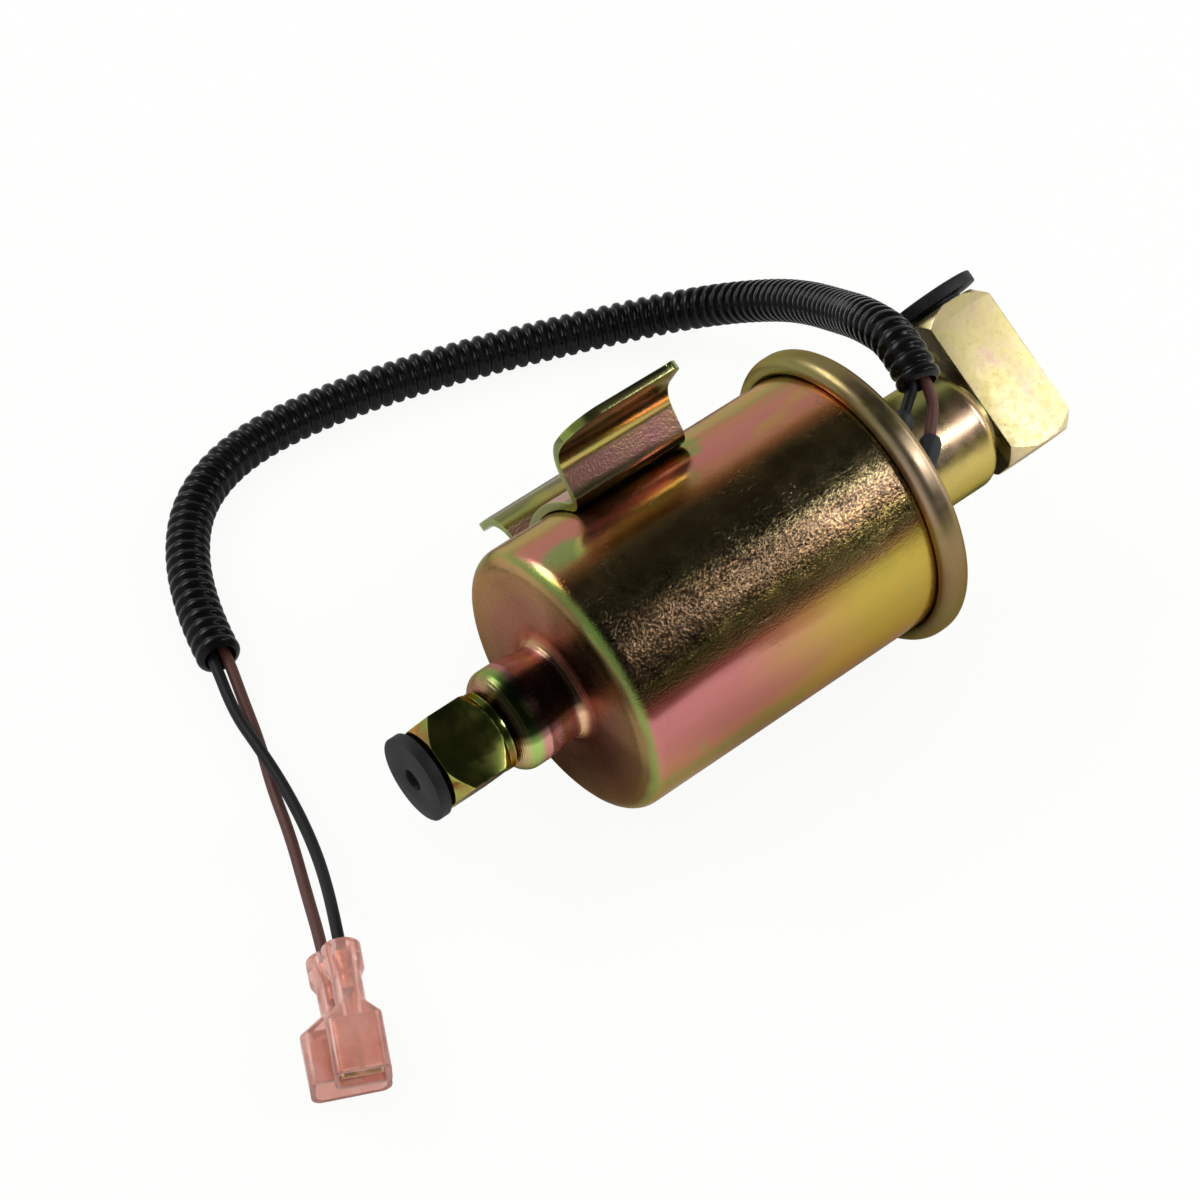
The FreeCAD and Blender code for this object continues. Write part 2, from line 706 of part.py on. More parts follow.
# Coil and magnetic circuit

def make_coil():
    turned("coil_bobbin", [
        ("coil_front", "hub_bore"),
        ("coil_front", "bobbin_flange_radius"),
        ("coil_front + bobbin_wall", "bobbin_flange_radius"),
        ("coil_front + bobbin_wall", "hub_radius"),
        ("coil_rear - bobbin_wall", "hub_radius"),
        ("coil_rear - bobbin_wall", "bobbin_flange_radius"),
        ("coil_rear", "bobbin_flange_radius"),
        ("coil_rear", "hub_bore"),
    ])
    sleeve("coil_winding", "coil_front + bobbin_wall + press_gap", "coil_rear - bobbin_wall - press_gap",
           "hub_radius + press_gap", "winding_radius")
    sleeve("front_pole_plate", "coil_front - pole_gap - pole_thickness", "coil_front - pole_gap",
           "tube_radius + running_gap", "can_bore - running_gap")
    sleeve("rear_pole_plate", "coil_rear + pole_gap", "coil_rear + pole_gap + pole_thickness",
           "tube_radius + running_gap", "can_bore - running_gap")
    sleeve("front_cushion", "sheet_wall + press_gap", "coil_front - 2 * pole_gap - pole_thickness",
           "neck_bore + 6", "can_bore - 1")
    front = "coil_rear + 2 * pole_gap + pole_thickness"
    sleeve("coil_insulator", front, f"{front} + insulator_thickness",
           "tube_radius + running_gap", "can_bore - running_gap * 3")
    sleeve("board_spacer", f"{front} + insulator_thickness + press_gap", "board_station - press_gap",
           "board_radius - 2", "can_bore - running_gap * 3")


# Circuit board

def cylinder(label, radius, length, local):
    feature = doc.addObject("Part::Cylinder", label)
    bind(feature, "Radius", radius)
    bind(feature, "Height", length)
    keep(label, feature, local)
    return feature


def make_electronics():
    sleeve("circuit_board", "board_station", "board_rear", "board_hole_radius", "board_radius")
    sleeve("pickup_coil", "board_rear + press_gap", "board_rear + pickup_length",
           "tube_radius + running_gap", "pickup_radius")
    rear = size("board_rear + press_gap")
    transistor = doc.addObject("Part::Box", "transistor")
    bind(transistor, "Length", "transistor_height")
    bind(transistor, "Width", "transistor_width")
    bind(transistor, "Height", "transistor_depth")
    keep("transistor", transistor,
         Placement(Vector(rear, -size("transistor_width") / 2, size("pickup_radius") + 2), Rotation()))
    cylinder("capacitor", "capacitor_radius", "capacitor_length",
             Placement(Vector(rear, 12.0, -7.0), Rotation(Vector(0, 1, 0), 90)))
    cylinder("resistor", "resistor_radius", "resistor_length",
             Placement(Vector(rear + size("resistor_radius"), -size("resistor_length") / 2,
                              -size("pickup_radius") - 5), Rotation(Vector(1, 0, 0), -90)))


# Leads, conduit and terminals

# Hand-chosen routes in the bench frame, in millimetres
CONDUIT_ROUTE = [
    (38.3, -12.5, 51.3),
    (40.5, -4.8, 54.8),
    (44.3, 8.1, 49.1),
    (50.0, 19.9, 39.8),
    (55.9, 38.6, 27.3),
    (57.9, 55.3, 15.2),
    (53.5, 68.3, 7.2),
    (42.5, 76.6, 4.15),
    (21.0, 84.8, 4.15),
    (1.1, 91.0, 4.15),
    (-19.1, 95.0, 4.15),
    (-35.8, 95.0, 4.15),
    (-49.5, 89.2, 4.15),
    (-59.4, 77.9, 4.15),
    (-66.7, 62.0, 4.15),
    (-69.2, 52.2, 4.15),
]
BLACK_TAIL = [
    (-74.7, 40.1, 3.6), (-76.2, 30.1, 3.6), (-77.9, 20.8, 3.6), (-81.1, 9.3, 4.6), (-85.9, -2.9, 7.2)]
BROWN_TAIL = [
    (-70.9, 43.3, 2.2), (-74.4, 33.0, 1.25), (-78.9, 22.8, 1.15), (-82.7, 12.2, 1.3), (-88.5, -0.7, 2.6)]
WIRE_SPACING = 1.25
# Terminals: the sleeve mouth's place, the heading on the bench and the nose-down pitch
BLACK_TERMINAL = ((-95.1, -20.9, 11.88), -117.9, 6.5)
BROWN_TERMINAL = ((-96.0, -17.0, 5.61), -116.3, 5.5)


def cord_path(points, label):
    """Straight runs joined by tangent arcs, each as large as its runs allow."""
    points = [Vector(*point) for point in points]
    edges = []
    radii = []
    here = points[0]
    for before, corner, after in zip(points, points[1:], points[2:]):
        into = corner - before
        out = after - corner
        shorter = min(into.Length, out.Length)
        into.normalize()
        out.normalize()
        half = math.acos(max(-1.0, min(1.0, into.dot(out)))) / 2
        reach = 0.45 * shorter
        radius = reach / math.tan(half)
        radii.append(radius)
        first = corner - into * reach
        last = corner + out * reach
        toward = (out - into).normalize()
        centre = corner + toward * (radius / math.cos(half))
        middle = centre - toward * radius
        edges.append(Part.LineSegment(here, first).toShape())
        edges.append(Part.Arc(first, middle, last).toShape())
        here = last
    edges.append(Part.LineSegment(here, points[-1]).toShape())
    print(label, "radii", [round(radius, 1) for radius in radii])
    return Part.Wire(edges)


def cord_solid(label, points, radius):
    """Round cord swept along its path, its volume checked against its length."""
    path = cord_path(points, label)
    start = path.Edges[0]
    ring = Part.Circle(start.valueAt(start.FirstParameter), start.tangentAt(start.FirstParameter), radius)
    solid = path.makePipeShell([Part.Wire(ring.toShape())], True, False)
    expected = math.pi * radius ** 2 * path.Length
    print(label, "length", round(path.Length, 1), "volume ratio", round(solid.Volume / expected, 5))
    if abs(solid.Volume / expected - 1) > 0.01:
        raise RuntimeError(f"{label}: volume does not match its length")
    feature = doc.addObject("Part::Feature", label)
    feature.Shape = solid
    feature.Label = label
    parts[label] = feature


def beside(points, offset):
    """A route beside another that makes half a turn round it on the way."""
    points = [Vector(*point) for point in points]
    last = len(points) - 1
    moved = []
    for i, point in enumerate(points):
        run = (points[min(i + 1, last)] - points[max(i - 1, 0)]).normalize()
        side = Vector(-run.y, run.x, 0).normalize()
        turn = math.pi * i / last
        moved.append(tuple(point + (side * math.cos(turn) + run.cross(side) * math.sin(turn)) * offset))
    return moved


def make_conduit():
    """Split-free corrugated conduit: a bore and ribs lofted ruled through circles."""
    path = cord_path(CONDUIT_ROUTE, "conduit")
    edges = path.Edges
    total = path.Length

    def station(distance):
        """Point and heading at a distance along the path."""
        left = distance
        for edge in edges:
            if left <= edge.Length + 1e-9 or edge is edges[-1]:
                at = edge.getParameterByLength(min(left, edge.Length))
                return edge.valueAt(at), edge.tangentAt(at)
            left -= edge.Length

    crest = size("conduit_radius")
    root = size("conduit_root_radius")
    bore = size("conduit_bore_radius")
    ribs = int(size("conduit_ribs"))
    pitch = total / ribs

    def circle(distance, radius):
        """Circle square to the path, its start always on the steady side axis."""
        point, heading = station(distance)
        side = Vector(0, 0, 1).cross(heading).normalize()
        up = heading.cross(side)
        edge = Part.Circle(Vector(0, 0, 0), Vector(0, 0, 1), radius).toShape()
        edge.Placement = Placement(FreeCAD.Matrix(
            side.x, up.x, heading.x, point.x,
            side.y, up.y, heading.y, point.y,
            side.z, up.z, heading.z, point.z,
            0, 0, 0, 1))
        return Part.Wire(edge)

    rings = []
    for rib in range(ribs):
        base = rib * pitch
        rings.append(circle(base + 0.02 * pitch if rib else 0.0, root))
        rings.append(circle(base + 0.30 * pitch, crest))
        rings.append(circle(base + 0.66 * pitch, crest))
        rings.append(circle(base + 0.94 * pitch if rib < ribs - 1 else total, root))
    outer = Part.makeLoft(rings, True, True)
    hole_path = path.makePipeShell([circle(0.0, bore)], True, False)
    solid = outer.cut(hole_path)
    feature = doc.addObject("Part::Feature", "conduit")
    feature.Shape = solid
    feature.Label = "conduit"
    parts["conduit"] = feature
    print("conduit length", round(total, 1), "pitch", round(pitch, 3), "solids", len(solid.Solids))


def lead_start(offset):
    """Place and heading of a lead where it passes the rear cover."""
    lean = math.radians(size("lead_lean"))
    seat = Vector(size("cover_face"), -size("lead_radius_out"), size(offset))
    return seat, Vector(math.cos(lean), 0, math.sin(lean))


def make_lead_sleeve(label, offset, length):
    """Tapered rubber sleeve with a bulbous end, seated on the cover's face."""
    seat, heading = lead_start(offset)
    local = Placement(seat, Rotation(Vector(1, 0, 0), heading))
    body = turned(label, [
        ("-2", "wire_radius + press_gap"),
        ("-2", "lead_sleeve_root"),
        (f"{length} * 0.42", "lead_sleeve_root * 0.82"),
        (f"{length} * 0.72", "lead_sleeve_bulb"),
        (f"{length} * 0.9", "lead_sleeve_bulb * 0.94"),
        (length, "lead_sleeve_tip"),
        (length, "wire_radius + press_gap"),
    ], local)
    return body


def rounded_section(along, width, height, corner):
    """Rounded rectangle square to X, as a wire."""
    y, z, r = width / 2, height / 2, min(corner, width / 2 - 0.05, height / 2 - 0.05)
    edges = []
    centres = [(y - r, z - r, 0), (-y + r, z - r, 90), (-y + r, -z + r, 180), (y - r, -z + r, 270)]
    ends = []
    for cy, cz, begin in centres:
        spots = []
        for turn in (0, 45, 90):
            angle = math.radians(begin + turn)
            spots.append(Vector(along, cy + r * math.cos(angle), cz + r * math.sin(angle)))
        ends.append(spots)
    for i, spots in enumerate(ends):
        edges.append(Part.Arc(*spots).toShape())
        edges.append(Part.LineSegment(spots[-1], ends[(i + 1) % 4][0]).toShape())
    return Part.Wire(edges)


def prism(first, last):
    return Part.makeLoft([rounded_section(*first), rounded_section(*last)], True, True)


def terminal_place(terminal):
    (x, y, z), heading, pitch = terminal
    return Placement(Vector(x, y, z), Rotation(Vector(0, 0, 1), heading) * Rotation(Vector(0, 1, 0), pitch))


def receptacle(start):
    """Folded metal box that grips a flat tab, its seam open along the top."""
    wall = size("receptacle_wall")
    width = size("tab_width") + 2 * wall - 0.25
    height = size("tab_thickness") + 2 * wall + 1.3
    length = size("receptacle_length")
    slot = size("tab_thickness")
    metal = Part.makeBox(length, width, height, Vector(start, -width / 2, -height / 2))
    metal = metal.cut(Part.makeBox(length, width - 2 * wall, height - 2 * wall,
                                   Vector(start, -width / 2 + wall, -height / 2 + wall)))
    return metal.cut(Part.makeBox(length, slot, wall * 2, Vector(start, -slot / 2, height / 2 - wall * 1.5)))


def flat_tab(start):
    """Flat blade with a chamfered tip and a locking hole, on a short riser."""
    half = size("tab_width") / 2
    thick = size("tab_thickness")
    end = start + size("tab_length")
    nip = size("tab_tip_chamfer")
    corners = [(start, -half), (end - nip, -half), (end, nip - half),
               (end, half - nip), (end - nip, half), (start, half), (start, -half)]
    blade = Part.Face(Part.makePolygon([Vector(x, y, -thick / 2) for x, y in corners]))
    blade = blade.extrude(Vector(0, 0, thick))
    blade = blade.cut(Part.makeCylinder(size("tab_hole_radius"), 4, Vector(end - 3.2, 0, -2)))
    return blade.fuse(Part.makeBox(0.8, 1.6, 1.3 + thick / 2, Vector(start - 0.5, -0.8, -1.3)))


def make_terminal(tag, terminal, form):
    """Insulated push-on terminal: clear sleeve outside, socket or flat tab inside."""
    length = size("terminal_length")
    barrel_end = size("terminal_barrel_length")
    cone_end = barrel_end + size("terminal_barrel_cone")
    waist_end = size("terminal_waist_end")
    box_start = waist_end + size(f"{form}_taper")
    barrel = (size("terminal_barrel_width"), size("terminal_barrel_width"), size("terminal_barrel_width") * 0.49)
    waist = (size("terminal_waist_width"), size("terminal_waist_height"), 1.9)
    box = (size(f"{form}_width"), size(f"{form}_height"), size(f"{form}_corner"))
    wall = size("terminal_wall")
    cavity = (box[0] - 2 * wall, box[1] - 2 * wall, box[2] - wall / 2)
    skin = prism((0, *barrel), (barrel_end, *barrel))
    skin = skin.fuse(prism((barrel_end, *barrel), (cone_end, *waist)))
    skin = skin.fuse(prism((cone_end, *waist), (waist_end, *waist)))
    skin = skin.fuse(prism((waist_end, *waist), (box_start, *box)))
    skin = skin.fuse(prism((box_start, *box), (length, *box)))
    skin = skin.cut(prism((box_start, *cavity), (length + 1, *cavity)))
    crimp_outer = size("wire_radius + press_gap + receptacle_wall")
    crimp_room = crimp_outer + size("press_gap")
    skin = skin.cut(Part.makeCylinder(crimp_room, box_start + 1, Vector(-0.5, 0, 0), Vector(1, 0, 0)))
    start = box_start + 0.4
    metal = receptacle(start) if form == "socket" else flat_tab(start)
    crimp_start = size("crimp_start")
    crimp = Part.makeCylinder(crimp_outer, size("crimp_length"), Vector(crimp_start, 0, 0), Vector(1, 0, 0))
    crimp = crimp.cut(Part.makeCylinder(size("wire_radius + press_gap"), size("crimp_length"),
                                        Vector(crimp_start, 0, 0), Vector(1, 0, 0)))
    neck_start = crimp_start + size("crimp_length")
    neck = Part.makeBox(start - neck_start + 1, 1.6, size("receptacle_wall"),
                        Vector(neck_start - 0.5, -0.8, -1.3))
    metal = metal.fuse(crimp).fuse(neck).removeSplitter()
    place = terminal_place(terminal)
    for label, shape in ((f"terminal_sleeve_{tag}", skin.removeSplitter()),
                         (f"terminal_blade_{tag}", metal)):
        feature = doc.addObject("Part::Feature", label)
        feature.Shape = shape
        feature.Label = label
        feature.Placement = place
        parts[label] = feature


def make_harness():
    for tag, offset, tail, side, terminal, form in (
            ("black", "black_lead_offset", BLACK_TAIL, WIRE_SPACING, BLACK_TERMINAL, "socket"),
            ("brown", "brown_lead_offset", BROWN_TAIL, -WIRE_SPACING, BROWN_TERMINAL, "tab_shroud")):
        make_lead_sleeve(f"lead_sleeve_{tag}", offset, f"{tag}_sleeve_length")
        seat, heading = lead_start(offset)
        first = BENCH.multVec(seat - heading * size("lead_inner_length"))
        second = BENCH.multVec(seat + heading * size(f"{tag}_sleeve_length + {tag}_lead_straight"))
        print(tag, "sleeve tip", [round(v, 2) for v in second])
        inner = beside(CONDUIT_ROUTE, side)
        place = terminal_place(terminal)
        end = place.multVec(Vector(size("crimp_start + crimp_length") - 1, 0, 0))
        entry = place.multVec(Vector(-3.0, 0, 0))
        print(tag, "terminal entry", [round(v, 2) for v in entry])
        route = [tuple(first), tuple(second)] + inner + tail + [tuple(entry), tuple(end)]
        cord_solid(f"wire_{tag}", route, size("wire_radius"))
        make_terminal(tag, terminal, form)


# Pump-frame places of the outlet port and the two plugs
PORT_UP = Placement(Vector(size("elbow_station"), 0, 0), Rotation(Vector(0, 1, 0), -90))
INLET_MOUTH = Placement(Vector(size("inlet_mouth"), 0, 0), Rotation(Vector(0, 0, 1), 180))
OUTLET_MOUTH = Placement(Vector(size("elbow_station"), 0, size("outlet_port_height")),
                         Rotation(Vector(0, 1, 0), -90))
DERIVED["stop_bore"] = "in_tube - 1.2"

make_can()
make_seam_ring()
make_rear_cover()
make_casing_seals()
make_inlet_fitting()
make_outlet_elbow()
make_plug("inlet_plug", "inlet_plug_radius", INLET_MOUTH)
make_plug("outlet_plug", "outlet_plug_radius", OUTLET_MOUTH)
make_bracket()
make_flow_parts()
make_plunger()
make_return_spring()
make_coil()
make_electronics()
make_conduit()
make_harness()

doc.recompute()
for thing in doc.Objects:
    if "Invalid" in thing.State or "Error" in thing.State:
        raise RuntimeError(f"{thing.Label}: {thing.State}")

shapes = {}
for label, thing in parts.items():
    shape = thing.Shape.copy()
    if shape.isNull() or not shape.isValid():
        raise RuntimeError(f"{label}: shape is not valid")
    shapes[label] = shape

os.makedirs("parts", exist_ok=True)
for label, shape in shapes.items():
    shape.exportStep(f"parts/{label}.step")

pump_only = Part.makeCompound([shape for label, shape in shapes.items()
                               if not re.match(r"(wire|terminal|conduit|lead)", label)])
box = pump_only.optimalBoundingBox()
print("pump box", [round(value, 2) for value in (box.XMin, box.XMax, box.YMin, box.YMax, box.ZMin, box.ZMax)])
print("bench tilt", round(BENCH_TILT, 3), "lift", round(BENCH_LIFT, 3))
print("sub-parts", len(shapes))
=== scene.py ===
import bpy
import bmesh
import math
from mathutils import Matrix, Vector


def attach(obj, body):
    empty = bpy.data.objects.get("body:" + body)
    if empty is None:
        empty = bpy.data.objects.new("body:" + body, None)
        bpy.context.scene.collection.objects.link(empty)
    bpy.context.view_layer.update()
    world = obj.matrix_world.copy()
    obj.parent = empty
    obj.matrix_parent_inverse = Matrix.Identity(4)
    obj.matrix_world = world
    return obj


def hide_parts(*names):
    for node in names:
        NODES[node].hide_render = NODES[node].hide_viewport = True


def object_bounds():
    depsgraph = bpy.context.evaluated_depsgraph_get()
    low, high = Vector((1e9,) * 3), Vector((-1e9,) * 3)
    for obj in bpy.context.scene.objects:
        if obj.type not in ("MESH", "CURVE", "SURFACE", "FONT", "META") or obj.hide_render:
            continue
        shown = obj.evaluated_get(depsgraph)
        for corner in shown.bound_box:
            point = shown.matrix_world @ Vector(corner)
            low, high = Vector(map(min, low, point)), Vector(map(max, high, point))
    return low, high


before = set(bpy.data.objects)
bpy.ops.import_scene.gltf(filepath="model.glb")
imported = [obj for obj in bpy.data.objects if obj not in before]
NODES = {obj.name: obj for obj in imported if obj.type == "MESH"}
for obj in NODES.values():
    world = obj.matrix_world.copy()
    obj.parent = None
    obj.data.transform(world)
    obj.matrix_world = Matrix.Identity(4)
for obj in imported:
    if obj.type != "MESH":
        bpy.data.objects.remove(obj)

CAD_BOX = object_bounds()
MM = 0.001

# How the pump lies on the bench: rolled about its own axis, then tipped on its rims
BENCH_ROLL = math.radians(-56.55)
BENCH_TILT = math.radians(-3.0163)
BENCH_PLACE = Vector((-39.72, -8.15, 25.1957)) * MM
PUMP = (Matrix.Translation(BENCH_PLACE) @ Matrix.Rotation(BENCH_TILT, 4, "Y")
        @ Matrix.Rotation(BENCH_ROLL, 4, "X"))

# Where the tints round the pump begin and the can's painted highlight rises, in turns about its axis
BAND_START = 0.343
HIGHLIGHT_RISE = (0.285, 0.335)

# The paper of the studio: its own white, and how the metal mirrors it in the open and, with a painted shadow,
# by the can
PAPER_WHITE = (0.99, 1.0, 0.985, 1)
PAPER_OPEN = (0.68, 0.67, 0.67)
PAPER_PAINTED_SHADOW = (0.14, 0.135, 0.13)
# Its glow to the camera, and a painted glow under the neck that only the metal mirrors
GLOW_TO_CAMERA = 0.93
GLOW_IN_GLOSS = 0.42


# Camera, placed as the photograph shows the pump

def make_camera():
    lens = bpy.data.cameras.new("photo_lens")
    lens.sensor_fit = "HORIZONTAL"
    lens.sensor_width = 36.0
    lens.lens = 107.71
    lens.shift_x = -0.11394
    lens.shift_y = -0.02519
    lens.clip_start = 0.01
    lens.clip_end = 20
    camera = bpy.data.objects.new("photo_camera", lens)
    right = Vector((0.76145, -0.64823, 0.0))
    back = Vector((-0.45918, -0.53938, 0.70585)).normalized()
    right = (right - back * right.dot(back)).normalized()
    up = back.cross(right)
    turn = Matrix((right, up, back)).transposed().to_4x4()
    camera.matrix_world = Matrix.Translation(Vector((-285.69, -344.0, 466.84)) * MM) @ turn
    bpy.context.collection.objects.link(camera)
    bpy.context.scene.camera = camera


make_camera()
bpy.context.scene.view_settings.view_transform = "Standard"


# Cord routes: the same points as the CAD part, in metres

CONDUIT_ROUTE = [
    (0.0383, -0.0125, 0.0513),
    (0.0405, -0.0048, 0.0548),
    (0.0443, 0.0081, 0.0491),
    (0.05, 0.0199, 0.0398),
    (0.0559, 0.0386, 0.0273),
    (0.0579, 0.0553, 0.0152),
    (0.0535, 0.0683, 0.0072),
    (0.0425, 0.0766, 0.00415),
    (0.021, 0.0848, 0.00415),
    (0.0011, 0.091, 0.00415),
    (-0.0191, 0.095, 0.00415),
    (-0.0358, 0.095, 0.00415),
    (-0.0495, 0.0892, 0.00415),
    (-0.0594, 0.0779, 0.00415),
    (-0.0667, 0.062, 0.00415),
    (-0.0692, 0.0522, 0.00415),
]
BLACK_TAIL = [
    (-0.0747, 0.0401, 0.0036),
    (-0.0762, 0.0301, 0.0036),
    (-0.0779, 0.0208, 0.0036),
    (-0.0811, 0.0093, 0.0046),
    (-0.0859, -0.0029, 0.0072),
]
BROWN_TAIL = [
    (-0.0709, 0.0433, 0.0022),
    (-0.0744, 0.033, 0.00125),
    (-0.0789, 0.0228, 0.00115),
    (-0.0827, 0.0122, 0.0013),
    (-0.0885, -0.0007, 0.0026),
]
WIRE_SPACING = 0.00125
WIRE_RADIUS = 0.00105

# Place, heading and pitch of each terminal, and how its lead runs into it
BLACK_TERMINAL = ((-0.0951, -0.0209, 0.01188), -117.9, 6.5)
BROWN_TERMINAL = ((-0.096, -0.017, 0.00561), -116.3, 5.5)
TERMINAL_MOUTH_RUN = 0.003
TERMINAL_CRIMP_END = 0.0076

# Each lead's height at the rear cover and how far out its sleeve holds it straight
LEADS = {"black": (0.0015, 0.009), "brown": (-0.006, 0.0129)}
LEAD_RADIUS_OUT = 0.0198
LEAD_INNER = 0.006
LEAD_LEAN = math.radians(38.0)
COVER_FACE = 0.0683

# Angles in degrees past which two faces meet in a hard line
TURNED_SHARP = 32
SOLID_SHARP = 28.0
RIB_SHARP = 50

# Flat sides that stand for a full turn of the can and its ring
TURNED_SIDES = 220


def lead_point(tag, along):
    """A point on a lead's own line, so far out from the rear cover."""
    offset = LEADS[tag][0]
    return PUMP @ Vector((COVER_FACE + along * math.cos(LEAD_LEAN), -LEAD_RADIUS_OUT,
                          offset + along * math.sin(LEAD_LEAN)))


def terminal_matrix(terminal):
    place, heading, pitch = terminal
    return (Matrix.Translation(Vector(place)) @ Matrix.Rotation(math.radians(heading), 4, "Z")
            @ Matrix.Rotation(math.radians(pitch), 4, "Y"))


def beside(points, offset):
    """A route beside another that makes half a turn round it on the way."""
    points = [Vector(point) for point in points]
    last = len(points) - 1
    moved = []
    for i, point in enumerate(points):
        run = (points[min(i + 1, last)] - points[max(i - 1, 0)]).normalized()
        side = Vector((-run.y, run.x, 0)).normalized()
        turn = math.pi * i / last
        moved.append(point + (side * math.cos(turn) + run.cross(side) * math.sin(turn)) * offset)
    return moved


def route_curve(name, points, thickness=0.0):
    """One smooth NURBS line through a route's control points."""
    data = bpy.data.curves.new(name, "CURVE")
    data.dimensions = "3D"
    data.resolution_u = 14
    spline = data.splines.new("NURBS")
    spline.points.add(len(points) - 1)
    for knot, point in zip(spline.points, points):
        knot.co = (*point, 1.0)
    spline.order_u = 3
    spline.use_endpoint_u = True
    data.bevel_depth = thickness
    data.bevel_resolution = 5
    data.use_fill_caps = thickness > 0
    thing = bpy.data.objects.new(name, data)
    bpy.context.collection.objects.link(thing)
    return thing


def line_points(curve_object):
    """The points of a curve's own line."""
    mesh = bpy.data.meshes.new_from_object(curve_object)
    points = [vertex.co.copy() for vertex in mesh.vertices]
    bpy.data.meshes.remove(mesh)
    return points


def line_length(points):
    return sum((b - a).length for a, b in zip(points, points[1:]))


# Shader building

def add(tree, kind, **settings):
    made = tree.nodes.new(kind)
    for key, value in settings.items():
        setattr(made, key, value)
    return made


def feed(tree, source, socket):
    """Wire a source into a socket, or set the socket to a plain value."""
    if isinstance(source, bpy.types.NodeSocket):
        tree.links.new(source, socket)
    else:
        socket.default_value = source


def fill(tree, node, **values):
    """Feed a node's inputs by their labels, with a low line for each space."""
    for label, value in values.items():
        feed(tree, value, node.inputs[label.replace("_", " ")])


def maths(tree, operation, first, second=0.0, third=0.0, clamp=False):
    made = add(tree, "ShaderNodeMath", operation=operation, use_clamp=clamp)
    feed(tree, first, made.inputs[0])
    feed(tree, second, made.inputs[1])
    if operation == "MULTIPLY_ADD":
        feed(tree, third, made.inputs[2])
    return made.outputs[0]


def product(tree, first, *others):
    for other in others:
        first = maths(tree, "MULTIPLY", first, other)
    return first


def drifted(tree, value, field, reach):
    """A value moved up or down by a noise field about its middle."""
    return maths(tree, "MULTIPLY_ADD", maths(tree, "SUBTRACT", field, 0.5), reach, value)


def span(tree, value, low, high, to_low=0.0, to_high=1.0, smooth=True):
    made = add(tree, "ShaderNodeMapRange", interpolation_type="SMOOTHSTEP" if smooth else "LINEAR")
    feed(tree, value, made.inputs[0])
    for index, number in enumerate((low, high, to_low, to_high), start=1):
        feed(tree, number, made.inputs[index])
    return made.outputs[0]


def zone(tree, value, start, full, still, gone):
    """One within a range of the value, zero outside it, with soft ends."""
    return product(tree, span(tree, value, start, full), span(tree, value, gone, still))


def blend(tree, factor, first, second, mode="MIX"):
    made = add(tree, "ShaderNodeMix", data_type="RGBA", blend_type=mode)
    feed(tree, factor, made.inputs[0])
    feed(tree, first if isinstance(first, bpy.types.NodeSocket) else (*first, 1.0), made.inputs[6])
    feed(tree, second if isinstance(second, bpy.types.NodeSocket) else (*second, 1.0), made.inputs[7])
    return made.outputs[2]


def ramp(tree, factor, stops):
    made = add(tree, "ShaderNodeValToRGB")
    made.color_ramp.interpolation = "EASE"
    elements = made.color_ramp.elements
    while len(elements) < len(stops):
        elements.new(0.5)
    for element, (position, colour) in zip(elements, stops):
        element.position = position
        element.color = (*colour, 1.0)
    feed(tree, factor, made.inputs[0])
    return made.outputs[0]


def greys(*pairs):
    return [(place, (tone, tone, tone)) for place, tone in pairs]


def noise(tree, vector, scale, detail=2.0, roughness=0.5, distortion=0.0):
    made = add(tree, "ShaderNodeTexNoise")
    fill(tree, made, Vector=vector, Scale=scale, Detail=detail, Roughness=roughness, Distortion=distortion)
    return made.outputs["Fac"]


def stretched(tree, vector, x, y, z):
    made = add(tree, "ShaderNodeMapping")
    fill(tree, made, Vector=vector, Scale=(x, y, z))
    return made.outputs[0]


def scaled(tree, vector, factor):
    made = add(tree, "ShaderNodeVectorMath", operation="SCALE")
    feed(tree, vector, made.inputs[0])
    feed(tree, factor, made.inputs["Scale"])
    return made.outputs[0]


def dotted(tree, first, second):
    made = add(tree, "ShaderNodeVectorMath", operation="DOT_PRODUCT")
    feed(tree, first, made.inputs[0])
    feed(tree, second, made.inputs[1])
    return made.outputs["Value"]


def split(tree, vector):
    made = add(tree, "ShaderNodeSeparateXYZ")
    feed(tree, vector, made.inputs[0])
    return made.outputs


def pump_axis(x, y, z):
    """A direction of the pump's own frame, on the bench."""
    return PUMP.to_3x3() @ Vector((x, y, z))


def facing(tree, x, y, z):
    """How far the surface faces a direction of the pump: 1 straight at it, 0 edge on."""
    return dotted(tree, add(tree, "ShaderNodeNewGeometry").outputs["Normal"], pump_axis(x, y, z))


def turn_about(tree, up, side, start):
    """Turn about the pump's axis, counted in whole turns from a start."""
    return maths(tree, "MULTIPLY_ADD", maths(tree, "ARCTAN2", up, side), 0.5 / math.pi, start)


def new_group(name, inputs, outputs):
    tree = bpy.data.node_groups.new(name, "ShaderNodeTree")
    for label, kind, value in inputs:
        made = tree.interface.new_socket(label, in_out="INPUT", socket_type=kind)
        if value is not None:
            made.default_value = value
    for label, kind in outputs:
        tree.interface.new_socket(label, in_out="OUTPUT", socket_type=kind)
    return tree, add(tree, "NodeGroupInput"), add(tree, "NodeGroupOutput")


def place_group(tree, group, **values):
    made = add(tree, "ShaderNodeGroup", node_tree=group)
    fill(tree, made, **values)
    return made


# Shared effects

